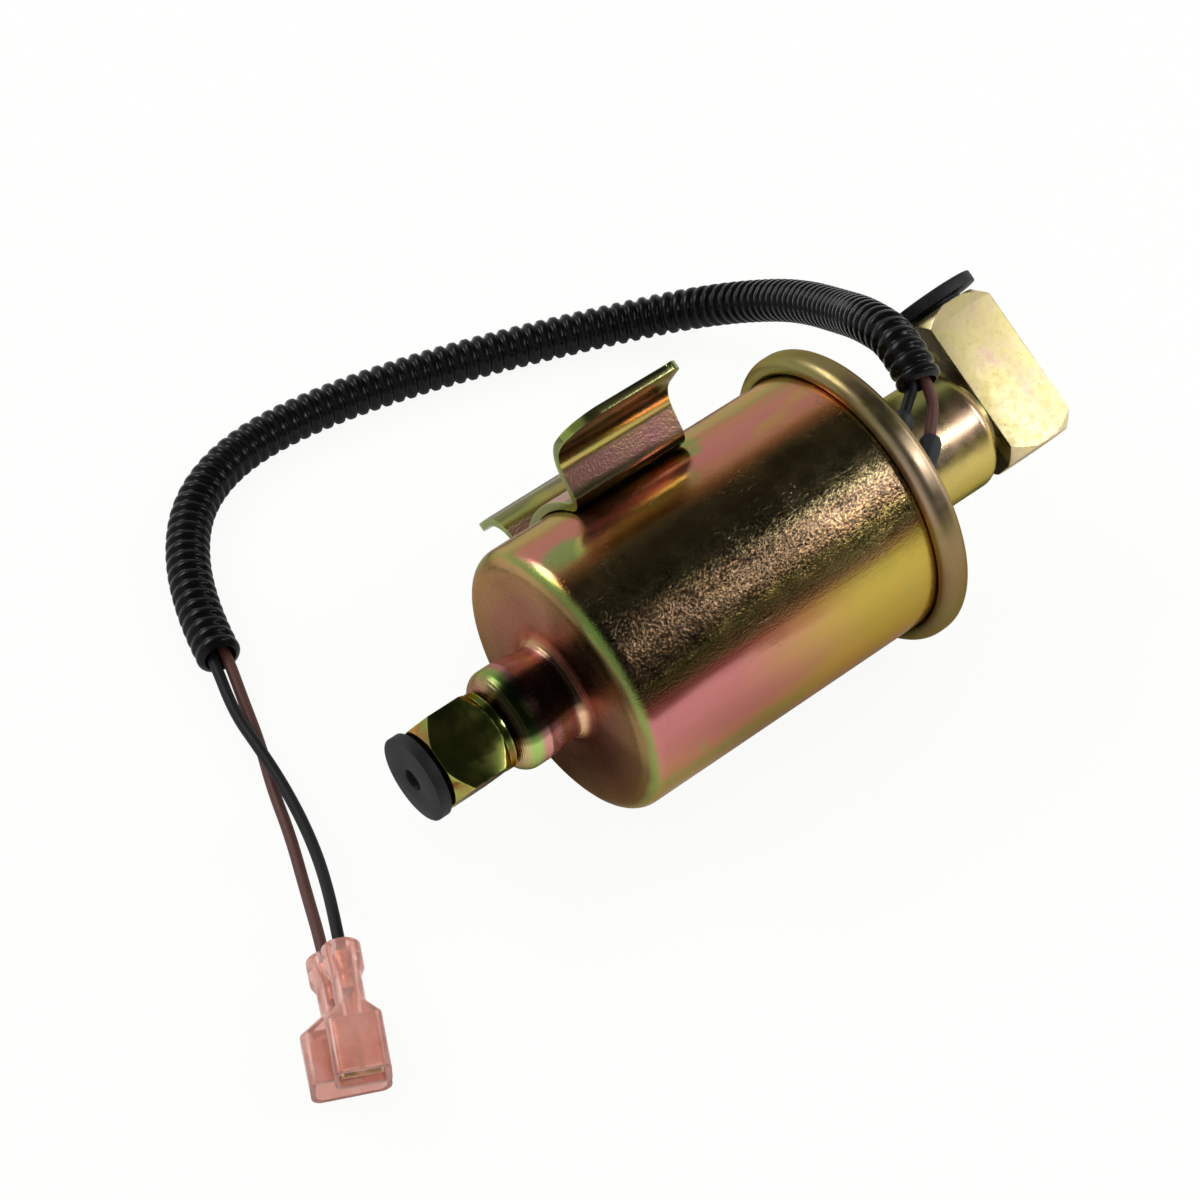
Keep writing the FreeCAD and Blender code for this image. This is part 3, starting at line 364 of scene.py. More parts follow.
def make_edge_mask():
    """Mask of the sharp edges, where handling rubs the finish bright, and where a painted edge highlight goes
    on the inlet bar and bracket.
    """
    tree, given, out = new_group(
        "edge mask",
        [("Coordinates", "NodeSocketVector", None), ("Width", "NodeSocketFloat", 0.0004),
         ("Breakup", "NodeSocketFloat", 900.0)],
        [("Mask", "NodeSocketFloat")])
    bevel = add(tree, "ShaderNodeBevel", samples=4)
    feed(tree, given.outputs["Width"], bevel.inputs["Radius"])
    normal = add(tree, "ShaderNodeNewGeometry").outputs["Normal"]
    edge = span(tree, dotted(tree, bevel.outputs[0], normal), 0.995, 0.90)
    broken = noise(tree, given.outputs["Coordinates"], given.outputs["Breakup"], 3.0, 0.6)
    feed(tree, maths(tree, "MULTIPLY", edge, span(tree, broken, 0.30, 0.60), clamp=True), out.inputs["Mask"])
    return tree


def make_fine_scratches():
    """Short handling marks in two directions, kept to worn patches."""
    tree, given, out = new_group(
        "fine scratches",
        [("Coordinates", "NodeSocketVector", None), ("Scale", "NodeSocketFloat", 1.0),
         ("Amount", "NodeSocketFloat", 0.5)],
        [("Mask", "NodeSocketFloat")])
    coordinates = given.outputs["Coordinates"]
    sized = scaled(tree, coordinates, given.outputs["Scale"])
    first = noise(tree, stretched(tree, sized, 700, 5200, 4700), 1.0, 2.0, 0.65)
    second = noise(tree, stretched(tree, sized, 4400, 900, 3900), 1.0, 2.0, 0.65)
    specks = maths(tree, "MAXIMUM", span(tree, first, 0.60, 0.76), span(tree, second, 0.62, 0.78))
    patches = span(tree, noise(tree, coordinates, 75.0, 4.0, 0.65), 0.42, 0.66)
    masked = product(tree, specks, patches)
    feed(tree, maths(tree, "MULTIPLY", masked, given.outputs["Amount"], clamp=True), out.inputs["Mask"])
    return tree


def make_zinc_tints():
    """Yellow passivation: gold that drifts into olive, green and rose in soft stains."""
    tree, given, out = new_group(
        "zinc tints",
        [("Coordinates", "NodeSocketVector", None), ("Stain Size", "NodeSocketFloat", 60.0),
         ("Shift", "NodeSocketFloat", 0.0), ("Strength", "NodeSocketFloat", 1.0)],
        [("Color", "NodeSocketColor"), ("Film", "NodeSocketFloat")])
    coordinates = given.outputs["Coordinates"]
    broad = noise(tree, coordinates, given.outputs["Stain Size"], 3.0, 0.55, 0.6)
    centred = maths(tree, "SUBTRACT", broad, 0.5)
    film = maths(tree, "ADD", maths(tree, "MULTIPLY_ADD", centred, given.outputs["Strength"], 0.5),
                 given.outputs["Shift"], clamp=True)
    colour = ramp(tree, film, [
        (0.00, (0.150, 0.230, 0.060)),
        (0.22, (0.330, 0.330, 0.070)),
        (0.38, (0.520, 0.390, 0.110)),
        (0.50, (0.560, 0.330, 0.130)),
        (0.62, (0.500, 0.210, 0.170)),
        (0.76, (0.420, 0.170, 0.200)),
        (0.88, (0.300, 0.260, 0.110)),
        (1.00, (0.200, 0.330, 0.090)),
    ])
    fill(tree, out, Color=colour, Film=film)
    return tree


def make_moulded_grain():
    """Fine moulding texture for rubber and plastic."""
    tree, given, out = new_group(
        "moulded grain",
        [("Coordinates", "NodeSocketVector", None), ("Scale", "NodeSocketFloat", 2400.0),
         ("Base Color", "NodeSocketColor", None), ("Variation", "NodeSocketFloat", 0.2)],
        [("Color", "NodeSocketColor"), ("Height", "NodeSocketFloat"), ("Roughness Shift", "NodeSocketFloat")])
    coordinates = given.outputs["Coordinates"]
    fine = noise(tree, coordinates, given.outputs["Scale"], 3.0, 0.6)
    cloudy = noise(tree, coordinates, 130.0, 3.0, 0.6)
    tone = drifted(tree, 1.0, cloudy, given.outputs["Variation"])
    fill(tree, out, Color=scaled(tree, given.outputs["Base Color"], tone), Height=fine,
         Roughness_Shift=drifted(tree, 0.0, cloudy, 0.25))
    return tree


EDGE_MASK = make_edge_mask()
FINE_SCRATCHES = make_fine_scratches()
ZINC_TINTS = make_zinc_tints()
MOULDED_GRAIN = make_moulded_grain()


def new_material(name):
    made = bpy.data.materials.new(name)
    made.use_nodes = True
    tree = made.node_tree
    shader = tree.nodes["Principled BSDF"]
    coordinates = add(tree, "ShaderNodeTexCoord").outputs["Object"]
    return made, tree, shader, coordinates


def pump_material(name):
    """A material whose coordinates are turned into the pump's own frame."""
    made, tree, shader, coordinates = new_material(name)
    local = add(tree, "ShaderNodeMapping", vector_type="TEXTURE")
    fill(tree, local, Vector=coordinates, Location=BENCH_PLACE, Rotation=(BENCH_ROLL, BENCH_TILT, 0))
    return made, tree, shader, local.outputs[0]


def bumped(tree, shader, height, strength, distance):
    made = add(tree, "ShaderNodeBump")
    fill(tree, made, Strength=strength, Distance=distance, Height=height)
    feed(tree, made.outputs[0], shader.inputs["Normal"])


def can_body(tree, local, along, place, drift, grain_and_sparkle):
    """The can's side: tints in bands, green and gold blots, and a painted highlight, broken into specks and
    patches and painted darker towards the front.
    """
    bands = ramp(tree, place, [
        (0.000, (0.340, 0.340, 0.100)),
        (0.100, (0.400, 0.360, 0.140)),
        (0.160, (0.450, 0.400, 0.150)),
        (0.185, (0.660, 0.280, 0.190)),
        (0.225, (0.680, 0.250, 0.210)),
        (0.243, (0.660, 0.280, 0.150)),
        (0.260, (0.600, 0.230, 0.080)),
        (0.278, (0.360, 0.240, 0.100)),
        (0.320, (0.300, 0.240, 0.120)),
        (0.356, (0.240, 0.160, 0.095)),
        (0.376, (0.330, 0.215, 0.110)),
        (0.393, (0.540, 0.410, 0.140)),
        (0.408, (0.480, 0.260, 0.100)),
        (0.426, (0.640, 0.170, 0.120)),
        (0.452, (0.620, 0.215, 0.215)),
        (0.485, (0.560, 0.200, 0.175)),
        (0.515, (0.560, 0.250, 0.150)),
        (0.545, (0.360, 0.330, 0.110)),
        (0.620, (0.500, 0.400, 0.130)),
        (0.740, (0.620, 0.260, 0.180)),
        (0.860, (0.300, 0.360, 0.100)),
        (1.000, (0.340, 0.340, 0.100)),
    ])
    seamward = span(tree, maths(tree, "MULTIPLY_ADD", drift, 0.030, along), 0.034, 0.066)
    lower = zone(tree, place, 0.405, 0.425, 0.55, 0.60)
    bands = blend(tree, product(tree, seamward, lower), bands, (0.580, 0.420, 0.075))
    blots = noise(tree, stretched(tree, local, 48, 62, 62), 1.0, 2.5, 0.5, 0.7)
    outside = maths(tree, "MULTIPLY_ADD", zone(tree, place, 0.235, 0.262, 0.47, 0.52), -0.9, 1.0)
    green = product(tree, span(tree, blots, 0.56, 0.66, 0.0, 0.75), outside)
    gold = product(tree, span(tree, blots, 0.44, 0.36, 0.0, 0.6), outside)
    body = blend(tree, green, bands, (0.220, 0.430, 0.110))
    body = blend(tree, gold, body, (0.620, 0.400, 0.100))
    # Painted highlight: where the can mirrors the light, its colour is made lighter and darker in specks and
    # patches, and darker towards the front.
    sheen = zone(tree, place, *HIGHLIGHT_RISE, 0.385, 0.402)
    # Painted shade: the band just below the highlight is painted darker towards the front.
    under = zone(tree, place, 0.385, 0.402, 0.432, 0.455)
    dim = maths(tree, "MULTIPLY_ADD", sheen, span(tree, along, 0.056, 0.036, 0.0, -0.36), 1.0)
    dim = maths(tree, "MULTIPLY_ADD", under, span(tree, along, 0.058, 0.004, 0.0, -0.62), dim)
    highlight_specks = span(tree, grain_and_sparkle, 0.36, 0.68, -0.70, 1.15, smooth=False)
    patches = noise(tree, stretched(tree, local, 95, 210, 210), 1.0, 3.0, 0.65, 0.6)
    highlight_specks = maths(tree, "ADD", highlight_specks, span(tree, patches, 0.36, 0.64, -0.50, 0.16, smooth=False))
    return scaled(tree, body, maths(tree, "MULTIPLY_ADD", product(tree, sheen, highlight_specks), dim, dim))


def can_face(tree, radius, rings, sector):
    """The can's front: soft rings of tint out to a green rim, with painted shade away from the light."""
    spread = drifted(tree, radius, rings, 0.0045)
    face = ramp(tree, span(tree, spread, 0.0080, 0.0262, smooth=False), [
        (0.00, (0.520, 0.300, 0.100)),
        (0.12, (0.500, 0.160, 0.100)),
        (0.26, (0.540, 0.250, 0.165)),
        (0.42, (0.530, 0.260, 0.175)),
        (0.62, (0.550, 0.310, 0.165)),
        (0.85, (0.500, 0.330, 0.140)),
        (0.905, (0.330, 0.400, 0.110)),
        (0.955, (0.310, 0.520, 0.110)),
    ])
    # Painted shade: the face is darkened by its angle round the axis, most where it faces away from the
    # light, and less on the rim.
    painted_face_shade = ramp(tree, sector, greys(
        (0.00, 0.95), (0.22, 0.90), (0.28, 0.50), (0.33, 0.24), (0.40, 0.26), (0.44, 0.62), (0.475, 0.60),
        (0.52, 0.34), (0.60, 0.28), (0.68, 0.42), (0.73, 0.75), (0.80, 0.95), (1.00, 0.95)))
    return blend(tree, span(tree, spread, 0.0236, 0.0246, 1.0, 0.35), face, painted_face_shade, "MULTIPLY")


def can_neck(tree, along, drift, sector):
    """The neck: a green band on its shoulder, painted nearly black where it mirrors the dark room, and
    painted brighter on its lower side.
    """
    place = span(tree, maths(tree, "MULTIPLY_ADD", drift, 0.003, along), -0.0125, 0.0015, smooth=False)
    neck = ramp(tree, place, [
        (0.00, (0.520, 0.260, 0.180)),
        (0.13, (0.400, 0.370, 0.150)),
        (0.19, (0.280, 0.460, 0.110)),
        (0.27, (0.330, 0.440, 0.130)),
        (0.34, (0.540, 0.260, 0.220)),
        (0.52, (0.640, 0.300, 0.290)),
        (0.66, (0.640, 0.390, 0.240)),
        (0.80, (0.620, 0.310, 0.280)),
        (0.92, (0.620, 0.380, 0.210)),
        (1.00, (0.460, 0.200, 0.120)),
    ])
    # Painted reflection and light: the neck's colour is darkened where it faces the dark room and raised
    # above its tint on its lower side.
    painted_shading = ramp(tree, sector, greys(
        (0.00, 0.90), (0.195, 0.90), (0.240, 0.30), (0.275, 0.09), (0.43, 0.07), (0.455, 0.60), (0.475, 1.45),
        (0.60, 1.40), (0.70, 1.0), (1.00, 0.9)))
    return blend(tree, 1.0, neck, painted_shading, "MULTIPLY")


def tinted_edges(tree, colour, local, width, breakup, share, tint):
    """A colour with its sharp edges blended to another tint: wear, and on the inlet bar and bracket also a
    painted edge highlight.
    """
    worn = place_group(tree, EDGE_MASK, Coordinates=local, Width=width, Breakup=breakup)
    return blend(tree, product(tree, worn.outputs[0], share), colour, tint)


def make_can_finish():
    """Glossy yellow zinc whose tints run in bands along the drawn can."""
    made, tree, shader, local = pump_material("can_yellow_zinc")
    along, side, up = split(tree, local)
    turns = turn_about(tree, up, side, 0.5 + BAND_START)
    radius = maths(tree, "SQRT", maths(tree, "ADD", product(tree, side, side), product(tree, up, up)))
    drift = noise(tree, stretched(tree, local, 14, 75, 75), 1.0, 3.0, 0.55, 0.5)
    streaks = noise(tree, stretched(tree, local, 25, 420, 420), 1.0, 3.0, 0.6, 0.3)
    # Fine noise: the bump's grain, and the painted sparkle in the can's highlight.
    grain_and_sparkle = noise(tree, stretched(tree, local, 1750, 2300, 2300), 1.0, 3.0, 0.72)
    rings = noise(tree, stretched(tree, local, 40, 40, 40), 1.0, 2.0, 0.5, 0.4)
    place = maths(tree, "FRACT", drifted(tree, drifted(tree, turns, drift, 0.10), streaks, 0.035))
    sector = maths(tree, "FRACT", drifted(tree, turns, rings, 0.06))
    front = span(tree, along, 0.0024, 0.0010)
    on_neck = product(tree, span(tree, radius, 0.0118, 0.0100), span(tree, along, -0.0002, -0.0012))
    colour = blend(tree, front, can_body(tree, local, along, place, drift, grain_and_sparkle),
                   can_face(tree, radius, rings, sector))
    colour = blend(tree, on_neck, colour, can_neck(tree, along, drift, sector))
    scratches = place_group(tree, FINE_SCRATCHES, Coordinates=local, Scale=1.0, Amount=0.7).outputs[0]
    colour = tinted_edges(tree, colour, local, 0.0005, 700.0, 0.25, (0.50, 0.55, 0.24))
    colour = blend(tree, product(tree, scratches, 0.4), colour, (0.60, 0.55, 0.45))
    cloudy = span(tree, noise(tree, local, 240.0, 4.0, 0.6), 0.3, 0.7, 0.15, 0.24)
    roughness = maths(tree, "ADD", cloudy, product(tree, scratches, 0.15), clamp=True)
    fill(tree, shader, Base_Color=colour, Metallic=1.0, Specular_Tint=(0.76, 0.55, 0.48, 1.0),
         Roughness=maths(tree, "MULTIPLY_ADD", front, 0.08, roughness))
    fine = noise(tree, local, 2300.0, 2.0, 0.6)
    grainy = zone(tree, place, *HIGHLIGHT_RISE, 0.405, 0.440)
    height = maths(tree, "MULTIPLY_ADD", fine, 0.3, product(tree, scratches, 0.5))
    height = maths(tree, "MULTIPLY_ADD", product(tree, grain_and_sparkle, grainy), 1.45, height)
    lathe = maths(tree, "SINE", product(tree, radius, 16000.0))
    turning = product(tree, lathe, front, span(tree, radius, 0.0222, 0.0205, 0.0, 0.35))
    bumped(tree, shader, maths(tree, "ADD", height, turning), 0.8, 0.00006)
    return made


def zinc_surface(tree, shader, colour, local, tint, rough, scratches, strength):
    """Mirror metal with a cloudy gloss, orange peel and scratches."""
    cloudy = noise(tree, local, 260.0, 4.0, 0.6)
    fill(tree, shader, Base_Color=colour, Metallic=1.0, Specular_Tint=(*tint, 1.0),
         Roughness=span(tree, cloudy, 0.3, 0.7, *rough))
    peel = noise(tree, local, 1100.0, 2.0, 0.5)
    bumped(tree, shader, maths(tree, "MULTIPLY_ADD", peel, 0.3, scratches), strength, 0.00005)


def make_rear_finish(name, stops, share, rough, tone):
    """Zinc on the cover or ring: one tint at the top, a paler painted highlight where the light falls,
    another tint below.
    """
    made, tree, shader, local = pump_material(name)
    _, side, up = split(tree, local)
    turns = turn_about(tree, up, side, 0.5 + BAND_START)
    drift = noise(tree, stretched(tree, local, 45, 75, 75), 1.0, 3.0, 0.55, 0.5)
    colour = ramp(tree, maths(tree, "FRACT", drifted(tree, turns, drift, 0.10)), stops)
    stains = place_group(tree, ZINC_TINTS, Coordinates=local, Stain_Size=70.0, Shift=-0.10, Strength=1.4)
    colour = blend(tree, share, colour, stains.outputs["Color"])
    colour = tinted_edges(tree, colour, local, 0.0004, 900.0, 0.35, (0.62, 0.55, 0.32))
    scratches = place_group(tree, FINE_SCRATCHES, Coordinates=local, Scale=1.2, Amount=0.5).outputs[0]
    zinc_surface(tree, shader, scaled(tree, colour, tone), local, (0.62, 0.54, 0.36), rough, scratches, 0.22)
    return made


def make_inlet_finish():
    """Dark olive flats, edges made bright green as wear and painted highlight, gold cones, and a painted
    brown reflection on faces turned down, all under the same zinc.
    """
    made, tree, shader, local = pump_material("inlet_yellow_zinc")
    stains = place_group(tree, ZINC_TINTS, Coordinates=local, Stain_Size=110.0, Shift=-0.20, Strength=1.3)
    colour = blend(tree, 0.80, stains.outputs["Color"], (0.055, 0.085, 0.018))
    cone = zone(tree, maths(tree, "ABSOLUTE", facing(tree, -1, 0, 0)), 0.16, 0.34, 0.90, 0.97)
    gold = blend(tree, span(tree, stains.outputs["Film"], 0.25, 0.45),
                 (0.380, 0.380, 0.090), (0.460, 0.220, 0.080))
    colour = blend(tree, cone, colour, gold)
    # Painted reflection: faces turned down in the pump's frame are coloured brown.
    colour = blend(tree, span(tree, facing(tree, 0, 0, -1), 0.50, 0.85), colour, (0.340, 0.185, 0.060))
    # The sharp edges are made bright green, partly wear and partly a painted highlight.
    colour = tinted_edges(tree, colour, local, 0.0006, 900.0, 0.9, (0.600, 0.780, 0.200))
    scratches = place_group(tree, FINE_SCRATCHES, Coordinates=local, Scale=1.2, Amount=0.6).outputs[0]
    colour = blend(tree, product(tree, scratches, 0.35), colour, (0.45, 0.46, 0.28))
    zinc_surface(tree, shader, colour, local, (0.48, 0.36, 0.20), (0.12, 0.22), scratches, 0.25)
    return made


def make_bracket_finish():
    """Yellow zinc on the bent strap: its colour follows the height of the leg, tints with a painted highlight
    along the bend and painted shade at the foot and inside the bend.
    """
    made, tree, shader, local = pump_material("bracket_yellow_zinc")
    _, _, up = split(tree, local)
    drift = noise(tree, stretched(tree, local, 45, 90, 90), 1.0, 3.0, 0.55, 0.4)
    height = drifted(tree, up, drift, 0.0035)
    # By height: painted shade at the foot, rose web, a painted gold highlight line at the bend, painted shade
    # inside the bend, green lip edge.
    colour = ramp(tree, span(tree, height, 0.0215, 0.0345, smooth=False), [
        (0.00, (0.240, 0.320, 0.090)),
        (0.10, (0.070, 0.110, 0.045)),
        (0.20, (0.130, 0.120, 0.080)),
        (0.32, (0.500, 0.250, 0.240)),
        (0.50, (0.520, 0.280, 0.220)),
        (0.58, (0.700, 0.560, 0.130)),
        (0.66, (0.420, 0.430, 0.120)),
        (0.73, (0.160, 0.190, 0.075)),
        (0.85, (0.220, 0.260, 0.095)),
        (0.93, (0.360, 0.450, 0.110)),
        (1.00, (0.360, 0.520, 0.130)),
    ])
    stains = place_group(tree, ZINC_TINTS, Coordinates=local, Stain_Size=110.0, Shift=0.0, Strength=1.8)
    colour = blend(tree, 0.22, colour, stains.outputs["Color"])
    cut_edge = span(tree, maths(tree, "ABSOLUTE", facing(tree, 1, 0, 0)), 0.35, 0.70)
    colour = blend(tree, product(tree, cut_edge, 0.80), colour, (0.230, 0.300, 0.060))
    # The sharp edges are made bright, partly wear and partly a painted highlight.
    colour = tinted_edges(tree, colour, local, 0.0005, 500.0, 0.85, (0.48, 0.62, 0.18))
    web = zone(tree, height, 0.0235, 0.0248, 0.0278, 0.0290)
    fill(tree, shader, Base_Color=colour, Metallic=1.0,
         Roughness=maths(tree, "MULTIPLY_ADD", web, 0.20, 0.20))
    peel = noise(tree, local, 1900.0, 2.0, 0.6)
    bumped(tree, shader, product(tree, peel, maths(tree, "MULTIPLY_ADD", web, 1.2, 0.12)), 0.8, 0.00012)
    return made


def make_block_finish():
    """Milled bar flats under matte yellow zinc, paler than the rest, with painted shade on the faces turned
    towards the can.
    """
    made, tree, shader, local = pump_material("block_pale_zinc")
    broad = noise(tree, local, 120.0, 4.0, 0.6, 0.5)
    colour = ramp(tree, broad, [
        (0.30, (0.790, 0.670, 0.270)),
        (0.45, (0.900, 0.770, 0.380)),
        (0.55, (0.900, 0.740, 0.430)),
        (0.66, (0.890, 0.650, 0.470)),
        (0.80, (0.730, 0.640, 0.280)),
    ])
    grain = noise(tree, local, 800.0, 4.0, 0.7)
    pits = noise(tree, local, 1500.0, 3.0, 0.7)
    colour = blend(tree, span(tree, grain, 0.35, 0.75, 0.0, 0.22), colour, (0.60, 0.48, 0.18))
    colour = blend(tree, span(tree, pits, 0.63, 0.72, 0.0, 0.55), colour, (0.36, 0.28, 0.10))
    # Painted shade: faces turned towards the can are darkened almost to brown-black.
    painted_shading = blend(tree, span(tree, broad, 0.48, 0.62), (0.050, 0.034, 0.014), (0.240, 0.220, 0.050))
    colour = blend(tree, span(tree, facing(tree, -1, 0, 0), 0.55, 0.85, 0.0, 0.95), colour, painted_shading)
    colour = tinted_edges(tree, colour, local, 0.00045, 500.0, 0.75, (0.15, 0.14, 0.04))
    fill(tree, shader, Base_Color=colour, Metallic=0.94, Roughness=span(tree, grain, 0.3, 0.7, 0.38, 0.48))
    bumped(tree, shader, maths(tree, "MULTIPLY_ADD", pits, 0.8, grain), 0.35, 0.00005)
    return made


def make_moulded(name, base, rough, scale, variation, strength, coat=0.0, dust=0.0, specular=0.5):
    """Rubber and plastic with moulding grain, slight cloudiness and dust."""
    made, tree, shader, coordinates = new_material(name)
    grain = place_group(tree, MOULDED_GRAIN, Coordinates=coordinates, Scale=scale,
                        Base_Color=(*base, 1.0), Variation=variation)
    colour = grain.outputs["Color"]
    if dust:
        settled = span(tree, noise(tree, coordinates, 420.0, 5.0, 0.7), 0.50, 0.75, 0.0, dust)
        colour = blend(tree, settled, colour, (0.35, 0.34, 0.32))
    fill(tree, shader, Base_Color=colour, Coat_Weight=coat, Coat_Roughness=0.12, Specular_IOR_Level=specular,
         Roughness=maths(tree, "ADD", grain.outputs["Roughness Shift"], rough, clamp=True))
    bumped(tree, shader, grain.outputs["Height"], strength, 0.00004)
    return made


def make_pink_nylon():
    """Clear pink terminal insulation, slightly frosted, with flow marks."""
    made, tree, shader, coordinates = new_material("pink_clear_insulation")
    flow = noise(tree, coordinates, 190.0, 3.0, 0.5, 0.8)
    colour = ramp(tree, flow, [
        (0.30, (0.780, 0.400, 0.330)), (0.50, (0.820, 0.460, 0.390)), (0.70, (0.860, 0.540, 0.470))])
    fill(tree, shader, Base_Color=colour, Roughness=span(tree, flow, 0.3, 0.7, 0.07, 0.20), IOR=1.40,
         Transmission_Weight=0.74)
    bumped(tree, shader, noise(tree, coordinates, 320.0, 2.0, 0.5), 0.12, 0.00008)
    return made


def make_metal(name, dark, light, rough, scale=300.0, turning=0.0):
    """Plain metal with turning rings or drawing lines and slight tarnish."""
    made, tree, shader, local = pump_material(name)
    tarnish = noise(tree, local, scale, 4.0, 0.6, 0.4)
    colour = blend(tree, span(tree, tarnish, 0.35, 0.7), light, dark)
    lines = noise(tree, stretched(tree, local, 6000, 300, 300), 1.0, 2.0, 0.6)
    fill(tree, shader, Base_Color=colour, Metallic=1.0,
         Roughness=span(tree, lines, 0.3, 0.7, rough - 0.06, rough + 0.08))
    bumped(tree, shader, lines, 0.15 + turning, 0.00004)
    return made


# Tints round the axis, with a paler painted highlight from about 0.31 to 0.385 of a turn.
COVER_TINTS_AND_HIGHLIGHT = [
    (0.00, (0.36, 0.30, 0.12)), (0.18, (0.34, 0.33, 0.13)), (0.26, (0.30, 0.30, 0.10)),
    (0.31, (0.60, 0.42, 0.26)), (0.345, (0.80, 0.60, 0.42)), (0.385, (0.76, 0.56, 0.36)),
    (0.42, (0.56, 0.48, 0.14)), (0.50, (0.62, 0.54, 0.11)), (0.56, (0.50, 0.52, 0.15)),
    (0.75, (0.40, 0.36, 0.13)), (1.00, (0.36, 0.30, 0.12)),
]
RING_TINTS_AND_HIGHLIGHT = [
    (0.00, (0.42, 0.32, 0.14)), (0.15, (0.36, 0.34, 0.14)), (0.26, (0.40, 0.33, 0.15)),
    (0.31, (0.50, 0.40, 0.22)), (0.350, (0.72, 0.56, 0.40)), (0.385, (0.68, 0.54, 0.36)),
    (0.42, (0.42, 0.32, 0.15)), (0.50, (0.40, 0.27, 0.13)), (0.58, (0.34, 0.29, 0.12)),
    (0.75, (0.38, 0.30, 0.13)), (1.00, (0.42, 0.32, 0.14)),
]
FINISHES = {
    "can": make_can_finish(),
    "bracket": make_bracket_finish(),
    "cover": make_rear_finish("cover_yellow_zinc", COVER_TINTS_AND_HIGHLIGHT, 0.22, (0.23, 0.34), 1.15),
    "inlet": make_inlet_finish(),
    "ring": make_rear_finish("ring_satin_zinc", RING_TINTS_AND_HIGHLIGHT, 0.20, (0.28, 0.39), 0.72),
    "block": make_block_finish(),
    "plug": make_moulded("travel_plug_rubber", (0.0085, 0.009, 0.011), 0.55, 1800.0, 0.5, 0.35,
                         dust=0.02, specular=0.30),
    "seal": make_moulded("seal_rubber", (0.013, 0.015, 0.018), 0.55, 2200.0, 0.3, 0.25,
                         dust=0.03, specular=0.35),
    "conduit": make_moulded("conduit_black_plastic", (0.0030, 0.0030, 0.0034), 0.24, 1500.0, 0.4, 0.03,
                            dust=0.004, specular=0.20),
    "wire_black": make_moulded("wire_black_jacket", (0.005, 0.005, 0.0055), 0.52, 1500.0, 0.3, 0.05,
                               specular=0.22),
    "wire_brown": make_moulded("wire_brown_jacket", (0.085, 0.030, 0.022), 0.50, 1500.0, 0.3, 0.05,
                               specular=0.3),
    "pink": make_pink_nylon(),
    "bobbin": make_moulded("bobbin_black_nylon", (0.020, 0.020, 0.022), 0.42, 900.0, 0.3, 0.2),
    "card": make_moulded("pressed_fibre_card", (0.330, 0.220, 0.120), 0.80, 700.0, 0.5, 0.5),
    "board": make_moulded("board_green_lacquer", (0.020, 0.120, 0.045), 0.30, 500.0, 0.4, 0.1, coat=0.4),
    "moulding": make_moulded("component_moulding", (0.012, 0.012, 0.013), 0.50, 1600.0, 0.2, 0.3),
    "blue": make_moulded("capacitor_blue_sleeve", (0.020, 0.045, 0.220), 0.30, 400.0, 0.3, 0.1, coat=0.3),
    "tan": make_moulded("resistor_tan_lacquer", (0.420, 0.270, 0.130), 0.35, 500.0, 0.4, 0.1, coat=0.3),
    "brass": make_metal("turned_brass", (0.46, 0.30, 0.10), (0.80, 0.58, 0.25), 0.28),
    "tinned": make_metal("terminal_tinned_brass", (0.62, 0.50, 0.30), (0.88, 0.82, 0.66), 0.30),
    "copper": make_metal("winding_copper", (0.38, 0.12, 0.05), (0.72, 0.30, 0.14), 0.32, 200.0, 0.2),
    "steel": make_metal("turned_steel", (0.40, 0.40, 0.41), (0.62, 0.62, 0.63), 0.26),
    "spring": make_metal("spring_wire", (0.34, 0.34, 0.36), (0.60, 0.60, 0.62), 0.22),
}

NODE_FINISH = {
    "housing_can": "can", "seam_ring": "ring", "rear_cover": "cover", "mounting_bracket": "bracket",
    "inlet_fitting": "inlet", "outlet_elbow": "block", "inlet_plug": "plug", "outlet_plug": "plug",
    "lead_sleeve_black": "seal", "lead_sleeve_brown": "seal", "cover_gasket": "seal", "neck_seal": "seal",
    "boss_seal": "seal", "rear_bumper": "seal", "front_cushion": "seal", "inlet_valve_disc": "seal",
    "outlet_valve_disc": "seal", "front_pole_plate": "steel", "rear_pole_plate": "steel", "plunger": "steel",
    "outlet_valve_clip": "steel", "return_spring": "spring", "inlet_valve_spring": "spring",
    "outlet_valve_spring": "spring", "plunger_tube": "brass", "inlet_valve_seat": "brass",
    "inlet_valve_cage": "brass", "stop_sleeve": "brass", "filter_screen": "brass",
    "terminal_blade_black": "tinned", "terminal_blade_brown": "tinned", "coil_winding": "copper",
    "pickup_coil": "copper", "coil_bobbin": "bobbin", "board_spacer": "bobbin", "coil_insulator": "card",
    "circuit_board": "board", "transistor": "moulding", "capacitor": "blue", "resistor": "tan",
    "conduit": "conduit", "wire_black": "wire_black", "wire_brown": "wire_brown",
    "terminal_sleeve_black": "pink", "terminal_sleeve_brown": "pink",
}


def dress(thing, finish):
    thing.data.materials.clear()
    thing.data.materials.append(FINISHES[finish])


for name, finish in NODE_FINISH.items():
    dress(NODES[name], finish)


# Making pieces

def link_mesh(name, mesh, finish):
    thing = bpy.data.objects.new(name, mesh)
    bpy.context.collection.objects.link(thing)
    dress(thing, finish)
    return thing


def smooth_by_angle(mesh, degrees):
    """Smooth shading, with a hard line wherever faces meet more sharply."""
    shape = bmesh.new()
    shape.from_mesh(mesh)
    for face in shape.faces:
        face.smooth = True
    for edge in shape.edges:
        edge.smooth = len(edge.link_faces) == 2 and edge.calc_face_angle(0.0) < math.radians(degrees)
    shape.to_mesh(mesh)
    shape.free()


